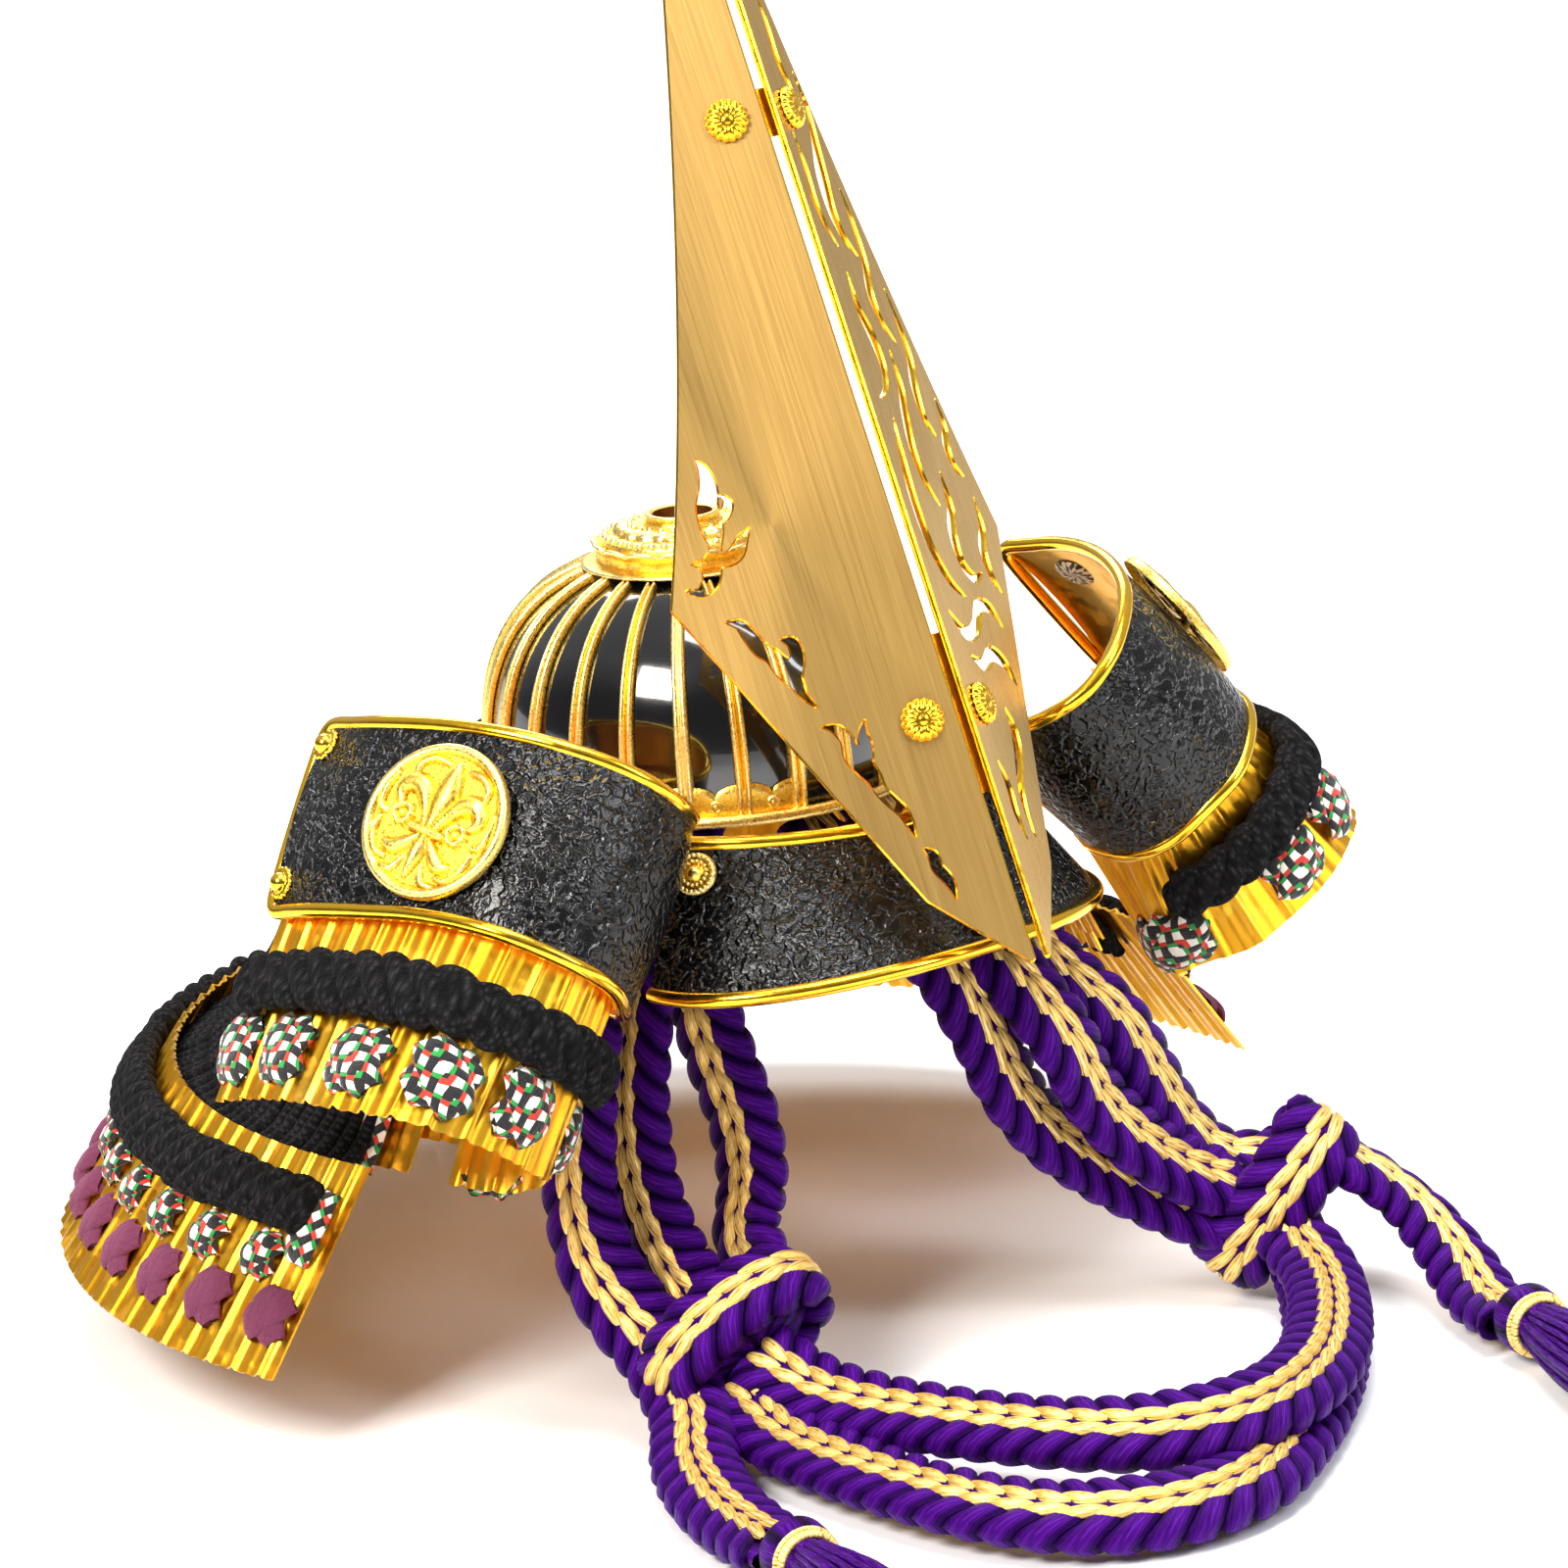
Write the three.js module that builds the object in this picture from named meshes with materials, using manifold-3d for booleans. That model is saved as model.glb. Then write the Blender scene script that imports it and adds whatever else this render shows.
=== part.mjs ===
// A one-third scale kabuto: ribbed bowl, visor, turned-back wings, four neck-guard lames,
// a pierced two-bladed crest and a braided chin cord with its knots and tassels.
// Millimetres, +Z up, front towards -Y, origin at the centre of the bowl's base plane.
import * as THREE from 'three';
import { mergeVertices } from 'three/addons/utils/BufferGeometryUtils.js';
import Module from 'manifold-3d';

const wasm = await Module();
wasm.setup();

// Driving dimensions
const GAP = 0.3;
const SLACK = 0.04; // how far a joined solid's faces may move when small ones are merged
const BOWL = { rx: 36.2, stretch: 1.1, height: 38.3, widest: 4, wall: 1.2, segments: 24 };
const BOWL_CURVE = { rise: 2.3, round: 2.9 };
const RIB = {
  count: 24, wide: 2.8, narrow: 2.0, height: 0.95, lift: 0.36, taper: 0.3,
  climbs: [-0.1, 0.25, 0.47, 0.65, 0.78],
};
const BASE_RING = { radius: 38.1, section: 1.15 };
const SCALLOP = { atRib: 6, notch: 4.2, thickness: 0.5, frontFields: 2 };
const VISOR = { thickness: 1.2, endAngle: 39, bandRadius: 1.35, rimRadius: 1.4 };
const WING = { thickness: 1.2, slant: 34, rimRadius: 1.35, corner: 2.2, inset: 1.75, belly: 1.5 };
const LAME = { thickness: 0.8 };
const ROPE = { thickness: 4.2 };
const CREST = { thickness: 1.2, spread: 1.3, tip: 214 };
const MEDALLION = { radius: 13.5, thickness: 1.1, along: 0.245, down: 0.54, standOff: 1.1 };
const CORD = { width: 15.5, thickness: 7 };

const COLOURS = {
  gold: { color: 0xd9a520, metalness: 1, roughness: 0.3 },
  satinGold: { color: 0xb8954e, metalness: 1, roughness: 0.42 },
  blackEnamel: { color: 0x0a0a0c, metalness: 0, roughness: 0.08 },
  blackLeather: { color: 0x141416, metalness: 0, roughness: 0.4 },
  blackCord: { color: 0x0e0e10, metalness: 0, roughness: 0.9 },
  purpleCord: { color: 0x3c1478, metalness: 0, roughness: 0.6 },
};

const kabuto = new THREE.Group();
const degrees = THREE.MathUtils.degToRad;
const vector = (x, y, z) => new THREE.Vector3(x, y, z);

// ---------------------------------------------------------------- solids

// Keeps positions only, merges shared vertices and turns the faces outward.
function weld(geometry) {
  const bare = geometry.clone();
  bare.deleteAttribute('normal');
  bare.deleteAttribute('uv');
  const welded = mergeVertices(bare, 1e-4);
  const index = Array.from(welded.index.array);
  const [a, b, c] = [vector(), vector(), vector()];
  let volume = 0;
  for (let i = 0; i < index.length; i += 3) {
    a.fromBufferAttribute(welded.attributes.position, index[i]);
    b.fromBufferAttribute(welded.attributes.position, index[i + 1]);
    c.fromBufferAttribute(welded.attributes.position, index[i + 2]);
    volume += a.dot(b.cross(c));
  }
  if (volume < 0) index.reverse();
  welded.setIndex(index);
  return welded;
}

function toSolid(geometry) {
  const welded = weld(geometry);
  return new wasm.Manifold(new wasm.Mesh({
    numProp: 3,
    vertProperties: new Float32Array(welded.attributes.position.array),
    triVerts: new Uint32Array(welded.index.array),
  }));
}

function fromSolid(solid) {
  const mesh = solid.getMesh();
  const geometry = new THREE.BufferGeometry();
  geometry.setAttribute('position', new THREE.BufferAttribute(new Float32Array(mesh.vertProperties), 3));
  geometry.setIndex(Array.from(mesh.triVerts));
  return geometry;
}

const joinedSolid = (geometries) => geometries.map(toSolid).reduce((sum, next) => sum.add(next));
const join = (geometries) => fromSolid(joinedSolid(geometries).simplify(SLACK));

function addPiece(name, geometry, colour) {
  const material = new THREE.MeshStandardMaterial(COLOURS[colour]);
  const mesh = new THREE.Mesh(weld(geometry), material);
  mesh.name = name;
  kabuto.add(mesh);
  return mesh;
}

const mirrored = (geometry) => geometry.clone().scale(-1, 1, 1);

// The helmet's left side is +X; its right side is the mirror image.
function addPair(name, geometry, colour) {
  addPiece(`${name}_left`, geometry, colour);
  addPiece(`${name}_right`, mirrored(geometry), colour);
}

// A closed wall: a box whose (u, v, w), each from 0 to 1, are sent through a map.
function panel(map, columns, rows) {
  const box = new THREE.BoxGeometry(1, 1, 1, columns, rows, 1);
  const place = box.attributes.position;
  for (let i = 0; i < place.count; i += 1) {
    const point = map(place.getX(i) + 0.5, place.getY(i) + 0.5, place.getZ(i) + 0.5);
    place.setXYZ(i, point.x, point.y, point.z);
  }
  return box;
}

// A ruled sheet between two edge functions of u, lifted off itself along its outward normal.
function sheet({
  top, bottom, from = 0, to = 1, upper = 0, lower = 1, thickness, lift = 0, belly = 0, columns, rows = 1,
}) {
  const at = (u, v) => top(u).lerp(bottom(u), v);
  const step = 1e-3;
  const normal = (u, v) => {
    const along = at(Math.min(1, u + step), v).sub(at(Math.max(0, u - step), v));
    const down = at(u, 1).sub(at(u, 0));
    return along.cross(down).normalize();
  };
  return panel((a, b, c) => {
    const u = from + (to - from) * a;
    const v = upper + (lower - upper) * b;
    const swell = belly * 4 * v * (1 - v);
    return at(u, v).addScaledVector(normal(u, v), lift + swell + (c - 0.5) * thickness);
  }, columns, rows);
}

// A route with one extrusion step for each of its points.
class Route extends THREE.Curve {
  constructor(points) {
    super();
    this.points = points;
  }

  getPoint(t) {
    const place = t * (this.points.length - 1);
    const first = Math.min(Math.floor(place), this.points.length - 2);
    return this.points[first].clone().lerp(this.points[first + 1], place - first);
  }

  getPointAt(u) {
    return this.getPoint(u);
  }

  getTangentAt(u) {
    return this.getTangent(u);
  }
}

function ovalSection(halfWidth, halfHeight, sides) {
  const corners = Array.from({ length: sides }, (_, i) => {
    const turn = ((i + 0.5) / sides) * 2 * Math.PI;
    return new THREE.Vector2(halfWidth * Math.cos(turn), halfHeight * Math.sin(turn));
  });
  return new THREE.Shape(corners);
}

function tube(points, section) {
  return new THREE.ExtrudeGeometry(section, {
    steps: points.length - 1, extrudePath: new Route(points), bevelEnabled: false,
  });
}

const roundTube = (points, radius, sides = 6) => tube(points, ovalSection(radius, radius, sides));

// A revolve about Z of rows [radius, height]; the profile closes on itself.
function revolve(profile, segments) {
  const rows = [...profile, profile[0]].map(([radius, height]) => new THREE.Vector2(radius, height));
  return new THREE.LatheGeometry(rows, segments).rotateX(Math.PI / 2);
}

// A revolve whose profile starts and ends on the axis, such as a rivet head.
function turned(profile, segments) {
  const rows = profile.map(([radius, height]) => new THREE.Vector2(radius, height));
  return new THREE.LatheGeometry(rows, segments).rotateX(Math.PI / 2);
}

// Moves a piece modelled flat at the origin to a place, its +Z along normal and its +Y along up.
function setOn(geometry, place, normal, up = vector(0, 0, 1)) {
  const z = normal.clone().normalize();
  const x = up.clone().cross(z).normalize();
  const y = z.clone().cross(x);
  return geometry.clone().applyMatrix4(new THREE.Matrix4().makeBasis(x, y, z).setPosition(place));
}

// ---------------------------------------------------------------- bowl

// A point of the bowl's outer surface: turn about Z, and climb from 0 at its widest to 1 at the top.
function bowlPoint(turn, climb) {
  const rise = Math.sin(Math.max(0, climb) * Math.PI / 2);
  const radius = BOWL.rx * (1 - rise ** BOWL_CURVE.rise) ** (1 / BOWL_CURVE.round);
  const above = (BOWL.height - BOWL.widest) * rise;
  const height = BOWL.widest + (climb < 0 ? climb * BOWL.height : above);
  return vector(radius * Math.cos(turn), BOWL.stretch * radius * Math.sin(turn), height);
}

function bowlNormal(turn, climb) {
  const step = 1e-3;
  const across = bowlPoint(turn + step, climb).sub(bowlPoint(turn - step, climb));
  const upward = bowlPoint(turn, climb + step).sub(bowlPoint(turn, climb - step));
  return across.cross(upward).normalize();
}

function bowlShell() {
  const climbs = [-BOWL.widest / BOWL.height, 0, 0.25, 0.47, 0.65, 0.8, 0.93];
  const outer = climbs.map((climb) => {
    const point = bowlPoint(0, climb);
    return [point.x, point.z];
  });
  const inner = climbs.filter((_, i) => ![1, 3].includes(i)).map((climb) => {
    const point = bowlPoint(0, climb);
    const normal = climb > 0 ? bowlNormal(0, climb) : vector(1, 0, 0);
    return [point.x - BOWL.wall * normal.x, point.z - BOWL.wall * normal.z];
  });
  return revolve([...outer, ...inner.reverse()], BOWL.segments).scale(1, BOWL.stretch, 1);
}

function rib(turn) {
  return panel((u, v, w) => {
    const climb = RIB.climbs[Math.round(u * (RIB.climbs.length - 1))];
    const normal = bowlNormal(turn, climb);
    const across = vector(-Math.sin(turn), Math.cos(turn), 0);
    const width = RIB.wide + (RIB.narrow - RIB.wide) * u;
    const crowned = width * (1 - RIB.taper * w);
    return bowlPoint(turn, climb).addScaledVector(across, (v - 0.5) * crowned)
      .addScaledVector(normal, RIB.lift + w * RIB.height);
  }, RIB.climbs.length - 1, 1);
}

// The scalloped base plate: high at each rib, notched between ribs, absent from the front fields.
function scallopedSkirt() {
  const columnsPerField = 2;
  const fields = RIB.count - SCALLOP.frontFields;
  const field = 2 * Math.PI / RIB.count;
  const start = -Math.PI / 2 + field * SCALLOP.frontFields / 2;
  const heights = [SCALLOP.atRib, SCALLOP.notch];
  return panel((u, v, w) => {
    const column = Math.round(u * fields * columnsPerField);
    const turn = start + u * fields * field;
    const height = v * heights[column % columnsPerField];
    const climb = height < BOWL.widest
      ? (height - BOWL.widest) / BOWL.height
      : Math.asin((height - BOWL.widest) / (BOWL.height - BOWL.widest)) / (Math.PI / 2);
    return bowlPoint(turn, climb).addScaledVector(bowlNormal(turn, 0), GAP + w * SCALLOP.thickness);
  }, fields * columnsPerField, 1);
}

function ribCage() {
  const { radius, section } = BASE_RING;
  const corners = Array.from({ length: 6 }, (_, i) => {
    const turn = (i + 0.5) * Math.PI / 3;
    return [radius + section * Math.cos(turn), section * Math.sin(turn)];
  });
  const ring = revolve(corners, RIB.count).scale(1, BOWL.stretch, 1);
  const ribs = Array.from({ length: RIB.count }, (_, i) => rib(i * 2 * Math.PI / RIB.count));
  return join([ring, scallopedSkirt(), ...ribs]);
}

// Stacked crown fitting: flange, fluted petal cup, beaded and granular tiers, open tube.
function crownOrnament() {
  const base = 38.1;
  const lobes = 14;
  const profile = [
    // radius, height above base, depth of the lobes
    [5.2, 0.3, 0], [9, 0.3, 0], [18.4, -0.5, 0], [18.4, 0.1, 0], [16.0, 0.4, 0.3], [16.6, 3.2, 0.8],
    [13.9, 3.6, 0], [13.7, 5.0, 0], [11.4, 6.0, 0], [6.5, 5.6, 0], [6.5, 8.0, 0], [5.2, 8.0, 0],
  ];
  const geometry = revolve(profile.map(([radius, height]) => [radius, base + height]), 2 * lobes);
  const place = geometry.attributes.position;
  for (let i = 0; i < place.count; i += 1) {
    const radius = Math.hypot(place.getX(i), place.getY(i));
    const near = (a, b) => Math.abs(a - b) < 0.01;
    const row = profile.find(([r, h]) => near(r, radius) && near(base + h, place.getZ(i)));
    const turn = Math.atan2(place.getY(i), place.getX(i));
    const lobed = radius + (row ? row[2] : 0) * Math.cos(lobes * turn);
    place.setXY(i, place.getX(i) * lobed / radius, place.getY(i) * lobed / radius);
  }
  return geometry;
}

addPiece('bowl_shell', bowlShell(), 'blackEnamel');
addPiece('rib_cage', ribCage(), 'gold');
addPiece('crown_ornament', crownOrnament(), 'gold');

// ---------------------------------------------------------------- visor

const VISOR_TOP = { rx: 44, ry: 57.5, cy: 0, z: -0.7 };
const VISOR_RIM = { rx: 46, ry: 33, cy: -41, z: -20.5, sag: 3 };

// u runs from the helmet's left, round the front, to its right.
function visorTop(u) {
  const turn = degrees(VISOR.endAngle + (180 - 2 * VISOR.endAngle) * u);
  return vector(VISOR_TOP.rx * Math.cos(turn), VISOR_TOP.cy - VISOR_TOP.ry * Math.sin(turn), VISOR_TOP.z);
}

function visorBottom(u) {
  const turn = Math.PI * u;
  const z = VISOR_RIM.z - VISOR_RIM.sag * Math.cos(turn) ** 2;
  return vector(VISOR_RIM.rx * Math.cos(turn), VISOR_RIM.cy - VISOR_RIM.ry * Math.sin(turn), z);
}

const along = (edge, count, from = 0, to = 1) => (
  Array.from({ length: count + 1 }, (_, i) => edge(from + (to - from) * i / count))
);

addPiece('visor_plate', sheet({
  top: visorTop, bottom: visorBottom, upper: 0.09, lower: 0.915, thickness: VISOR.thickness, columns: 20,
}), 'blackLeather');
addPiece('visor_top_band', roundTube(along(visorTop, 18), VISOR.bandRadius), 'gold');
addPiece('visor_rim', roundTube(along(visorBottom, 18), VISOR.rimRadius), 'gold');

const ROSETTE = [
  // radius, height
  [0, 0], [3.75, 0], [3.75, 0.7], [3.1, 1.2], [2.3, 0.8], [1.7, 1.5], [0, 1.9],
];

function onVisor(u, v, standOff) {
  const edgePoint = (s) => visorTop(s).lerp(visorBottom(s), v);
  const along = edgePoint(u + 0.01).sub(edgePoint(u - 0.01));
  const normal = along.cross(visorBottom(u).sub(visorTop(u))).normalize();
  return { place: edgePoint(u).addScaledVector(normal, standOff), normal };
}

const ROSETTE_SEAT = { along: 0.05, down: 0.21, standOff: 0.45 };
const rosetteLift = VISOR.thickness / 2 + ROSETTE_SEAT.standOff;
const rosettePlace = onVisor(ROSETTE_SEAT.along, ROSETTE_SEAT.down, rosetteLift);
addPair('visor_rosette', setOn(turned(ROSETTE, 10), rosettePlace.place, rosettePlace.normal), 'gold');

// ---------------------------------------------------------------- turned-back wings

// Edge lines of the helmet's left wing, from the free end, round the fold, to the lame behind it.
const WING_ROWS = [
  // top x, y, z, bottom x, y, z
  [75.6, 4, 23.3, 95.2, -2.4, -3.7],
  [75.6, -12.6, 26.2, 94.5, -15.2, -1.3],
  [71.9, -26.8, 27.0, 92, -26.3, -0.2],
  [66.7, -38.3, 25.8, 89, -36.7, 0.3],
  [61.8, -45.4, 23.5, 85, -49.5, -0.8],
  [55.7, -50.7, 19.8, 79.7, -55.9, -4.1],
  [50.8, -53.0, 16.1, 72.7, -59.6, -9.2],
  [45.3, -52.6, 11.3, 66.5, -58.1, -14.2],
  [40.5, -49.0, 7.6, 62, -54, -19.5],
  [38.4, -44.0, 5.2, 58, -48, -22.5],
  [38.3, -36, 4.5, 56.5, -40, -22.5],
  [39.5, -27, 3.8, 60, -31, -21.5],
];

function smoothEdge(rows, column) {
  const points = rows.map((row) => vector(row[column], row[column + 1], row[column + 2]));
  const curve = new THREE.CatmullRomCurve3(points, false, 'centripetal');
  return (u) => curve.getPoint(u);
}

const wingTop = smoothEdge(WING_ROWS, 0);
const wingBottom = smoothEdge(WING_ROWS, 3);
const WING_SHEET = { top: wingTop, bottom: wingBottom, belly: WING.belly };

function normalAt({ top, bottom }, u, v) {
  const at = (s) => top(s).lerp(bottom(s), v);
  const tangent = at(Math.min(1, u + 0.01)).sub(at(Math.max(0, u - 0.01)));
  return tangent.cross(bottom(u).sub(top(u))).normalize();
}

// Edging round a wing: along its top, down the free end with rounded mitres, along its bottom.
function wingEdging() {
  const start = 0.012;
  const corner = (edge, other) => {
    const side = edge(0).lerp(other(0), WING.corner / WING.slant);
    return [edge(start), edge(0).lerp(side, 0.3), side];
  };
  const topLine = along(wingTop, 13, 1, 0.06);
  const bottomLine = along(wingBottom, 13, 0.06, 1);
  const upperCorner = corner(wingTop, wingBottom);
  const lowerCorner = corner(wingBottom, wingTop).reverse();
  return [...topLine, ...upperCorner, ...lowerCorner, ...bottomLine];
}

addPair('wing_panel', sheet({
  ...WING_SHEET, from: 0.011, upper: WING.inset / WING.slant, lower: 1 - WING.inset / WING.slant,
  thickness: WING.thickness, columns: 20, rows: 3,
}), 'blackLeather');
addPair('wing_rim', roundTube(wingEdging(), WING.rimRadius), 'gold');

// Cast medallion with a raised rim, a fleur-de-lis and two small rosettes; +Y is up.
function petal(rows) {
  const outline = new THREE.Shape();
  outline.moveTo(...rows[0]);
  for (const [cx, cy, x, y] of rows.slice(1)) outline.quadraticCurveTo(cx, cy, x, y);
  return new THREE.ExtrudeGeometry(outline, { depth: 1.5, bevelEnabled: false, curveSegments: 2 });
}

function medallion() {
  const { radius, thickness } = MEDALLION;
  const disc = turned([
    [0, 0], [radius, 0], [radius, thickness + 0.5], [radius - 0.9, thickness + 0.8],
    [radius - 1.9, thickness], [0, thickness],
  ], 20);
  const middle = petal([[0, -2.4], [4.6, 3.0, 0, 10.6], [-4.6, 3.0, 0, -2.4]]);
  const side = petal([
    [0.9, -1.8], [2.6, 4.4, 6.2, 5.4], [10.4, 4.6, 8.6, 0.2], [8.4, 2.4, 6.4, 2.4], [4.4, 1.6, 0.9, -1.8],
  ]);
  const tail = petal([[0, -1.6], [2.0, -6.0, 0, -10.4], [-2.0, -6.0, 0, -1.6]]);
  const leaf = petal([[0.7, -2.8], [2.6, -6.4, 6.0, -6.4], [4.2, -4.0, 0.7, -2.8]]);
  const knob = turned([[0, 0], [2.1, 0], [1.6, 0.9], [0, 1.1]], 8);
  const band = new THREE.BoxGeometry(6.2, 1.5, 2.0).translate(0, -2.2, 1.0);
  const lifted = [middle, side, mirrored(side), tail, leaf, mirrored(leaf), band]
    .map((piece) => piece.translate(0, 0, thickness - 0.5));
  const knobs = [5.6, -5.6].map((x) => knob.clone().translate(x, -0.9, thickness - 0.2));
  return join([disc, ...lifted, ...knobs]);
}

// Where things sit on a wing: place along the wing and down its slope, each from 0 to 1.
function onSheet(surface, u, v, standOff) {
  const normal = normalAt(surface, u, v);
  const swell = surface.belly * 4 * v * (1 - v);
  const place = surface.top(u).lerp(surface.bottom(u), v).addScaledVector(normal, standOff + swell);
  return { place, normal };
}

const medallionLift = WING.thickness / 2 + MEDALLION.standOff;
const medallionSeat = onSheet(WING_SHEET, MEDALLION.along, MEDALLION.down, medallionLift);
const wingUp = wingTop(MEDALLION.along).sub(wingBottom(MEDALLION.along));
addPair('wing_medallion', setOn(medallion(), medallionSeat.place, medallionSeat.normal, wingUp), 'gold');

const DOME_RIVET = [
  // radius, height
  [0, 0], [2.7, 0], [2.7, 0.5], [1.7, 0.7], [1.3, 1.7], [0, 2.2],
];
for (const [name, u, v] of [['wing_rivet_upper', 0.022, 0.13], ['wing_rivet_lower', 0.022, 0.87]]) {
  const seat = onSheet(WING_SHEET, u, v, WING.thickness / 2 + GAP);
  addPair(name, setOn(turned(DOME_RIVET, 8), seat.place, seat.normal), 'gold');
}

// ---------------------------------------------------------------- neck-guard lames

// The second lame's turned-back leaf: its upper edge is tucked behind the wing's lower rim.
const LEAF_ROWS = [
  // wing place, lower x, y, z
  [0.0, 111, -4, -32.6],
  [0.09, 112, -17.9, -29],
  [0.18, 112.2, -29.8, -27],
  [0.27, 110.8, -42.7, -26.3],
  [0.36, 107.6, -52.9, -26.6],
  [0.44, 102.4, -56.2, -29.4],
  [0.5, 96.4, -58.2, -33],
  [0.56, 91.2, -57.9, -36.5],
  [0.63, 85.8, -55.8, -40.5],
  [0.7, 80.5, -53, -44.3],
  [0.77, 75.2, -45.7, -47.4],
];
const LEAF_TUCK = { up: 4.0, behind: 2.7 };

// Behind the fold the leaf returns along the inside: upper x, y, z, lower x, y, z.
const LEAF_RETURN_ROWS = [
  [58.6, -42.5, -17.6, 71.6, -41.8, -49.5],
  [57.6, -38.5, -15.4, 73.8, -40.6, -50.6],
  [58.0, -33.5, -13.2, 77.2, -37.4, -51],
  [59.4, -22, -12.2, 80.6, -26, -51],
];

function leafRows() {
  const turnedBack = LEAF_ROWS.map(([u, x, y, z]) => {
    const slope = wingBottom(u).sub(wingTop(u)).normalize();
    const upper = wingBottom(u).addScaledVector(slope, -LEAF_TUCK.up)
      .addScaledVector(normalAt(WING_SHEET, u, 1), -LEAF_TUCK.behind);
    return [upper.x, upper.y, upper.z, x, y, z];
  });
  return [...turnedBack, ...LEAF_RETURN_ROWS];
}

const LEAF_SHEET = { top: smoothEdge(leafRows(), 0), bottom: smoothEdge(leafRows(), 3) };
addPair('lame_2_wing', sheet({ ...LEAF_SHEET, thickness: LAME.thickness, columns: 22 }), 'gold');

// Lames that run round the back, from the helmet's right to its left: an ellipse at each edge.
const LAMES = {
  // upper and lower edge, each half width, half length, centre y, height, y of the front ends
  lame_1: [[42.5, 46, 0, 3.2, -22], [61.5, 66.5, 2, -19.5, -24]],
  lame_2: [[60, 66, 3, -12, -17], [77.2, 84, 5, -47, -20]],
  lame_3: [[68.8, 76, 5, -26, -14], [81.6, 90, 7, -52, -12.5]],
  lame_4: [[90.5, 103, 8, -48.4, -14.2], [114.5, 122, 10, -79.5, -14.2]],
};

function lameEdge([rx, ry, cy, z, front]) {
  const start = Math.asin((front - cy) / ry);
  return (u) => {
    const turn = Math.PI - start - (Math.PI - 2 * start) * u;
    return vector(rx * Math.cos(turn), cy + ry * Math.sin(turn), z);
  };
}

const lameSheet = ([top, bottom]) => ({ top: lameEdge(top), bottom: lameEdge(bottom) });

for (const [name, row] of Object.entries(LAMES)) {
  addPiece(name, sheet({ ...lameSheet(row), thickness: LAME.thickness, columns: 24 }), 'gold');
}

// Wound black rope bands lie on the lames' outer faces.
const ROPE_LIFT = LAME.thickness / 2 + 2 * GAP + ROPE.thickness / 2;
addPair('rope_band_2_wing', sheet({
  ...LEAF_SHEET, from: 0.008, to: 0.72, upper: 0.32, lower: 0.6,
  thickness: ROPE.thickness, lift: ROPE_LIFT, columns: 18,
}), 'blackCord');
for (const [name, lame, upper, lower, inset] of [
  ['rope_band_1', 'lame_1', 0.15, 0.48, 0.02],
  ['rope_band_2', 'lame_2', 0.05, 0.31, 0.03],
  ['rope_band_4', 'lame_4', 0.11, 0.37, 0.012],
]) {
  addPiece(name, sheet({
    ...lameSheet(LAMES[lame]), from: inset, to: 1 - inset, upper, lower,
    thickness: ROPE.thickness, lift: ROPE_LIFT, columns: 20,
  }), 'blackCord');
}

// ---------------------------------------------------------------- crest

// The blades stand on a ridge that leans back; s runs up the ridge and w across a blade.
const CREST_FOOT = vector(0, -89.3, -20.3);
const CREST_LEAN = degrees(21.8);
const CREST_TURN = degrees(30.75);
const ridge = vector(0, Math.sin(CREST_LEAN), Math.cos(CREST_LEAN));
const ridgeBack = vector(0, Math.cos(CREST_LEAN), -Math.sin(CREST_LEAN));
const bladeAcross = vector(Math.cos(CREST_TURN), 0, 0).addScaledVector(ridgeBack, Math.sin(CREST_TURN));
const bladeNormal = vector(Math.sin(CREST_TURN), 0, 0).addScaledVector(ridgeBack, -Math.cos(CREST_TURN));

const BLADE_OUTLINE = { lowCorner: [15.4, 15.9], sideCorner: [74.5, 41.9], upperBend: [128, 21] };

// Piercing strokes: rows of s, w and half width; the ends come to a point.
const FLAME_STROKES = [
  [[97.5, 30, 0], [95.5, 29.4, 0.7], [92.5, 29.5, 1.3], [89, 30.8, 1.7], [85.5, 31, 1.7], [82.5, 31.4, 0.8],
    [80, 32.8, 1.4], [77.4, 33.8, 1.3], [76, 36, 0.7], [77, 38.2, 0]],
  [[90.5, 27.5, 0], [89, 27.1, 0.6], [87.2, 28.4, 0.8], [86.4, 30.4, 0.6]],
  [[84, 25, 0], [82.4, 26.8, 0.8], [80.6, 28.4, 1.2], [80, 30.4, 1.0], [81, 32.4, 0.6]],
  [[81, 36, 0], [80.5, 34.5, 0.6], [79.5, 32.8, 0.8]],
  [[70, 33.5, 0], [69, 31.5, 0.7], [66.5, 30.4, 1.1], [64, 29.4, 1.2], [62.5, 28, 1.2], [59.5, 26.6, 1.5],
    [56.8, 25.4, 1.1], [54.5, 24.9, 0.5], [52, 23.5, 0]],
  [[64.5, 25.7, 0], [63.6, 24.1, 0.8], [61, 23.9, 1.0], [58.4, 25.2, 1.2]],
  [[48.5, 23.5, 0], [47.5, 21.5, 0.7], [45.2, 20.3, 1.0], [42.6, 20.3, 1.3], [40.2, 19, 1.5], [38, 18, 1.2],
    [35.6, 17.5, 0.9], [33.2, 16.3, 0.9], [31, 15, 0.8], [28.5, 14.5, 0.5], [26.5, 14.3, 0]],
  [[47.5, 16.5, 0], [45.5, 17.4, 0.6], [43.2, 17.6, 1.0], [40.6, 18.4, 1.0]],
  [[24, 13.5, 0], [22.6, 12.5, 0.7], [20.4, 12.4, 0.8], [18.4, 11.5, 0.8], [16.4, 11, 0.5], [14.5, 11, 0]],
];
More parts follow.
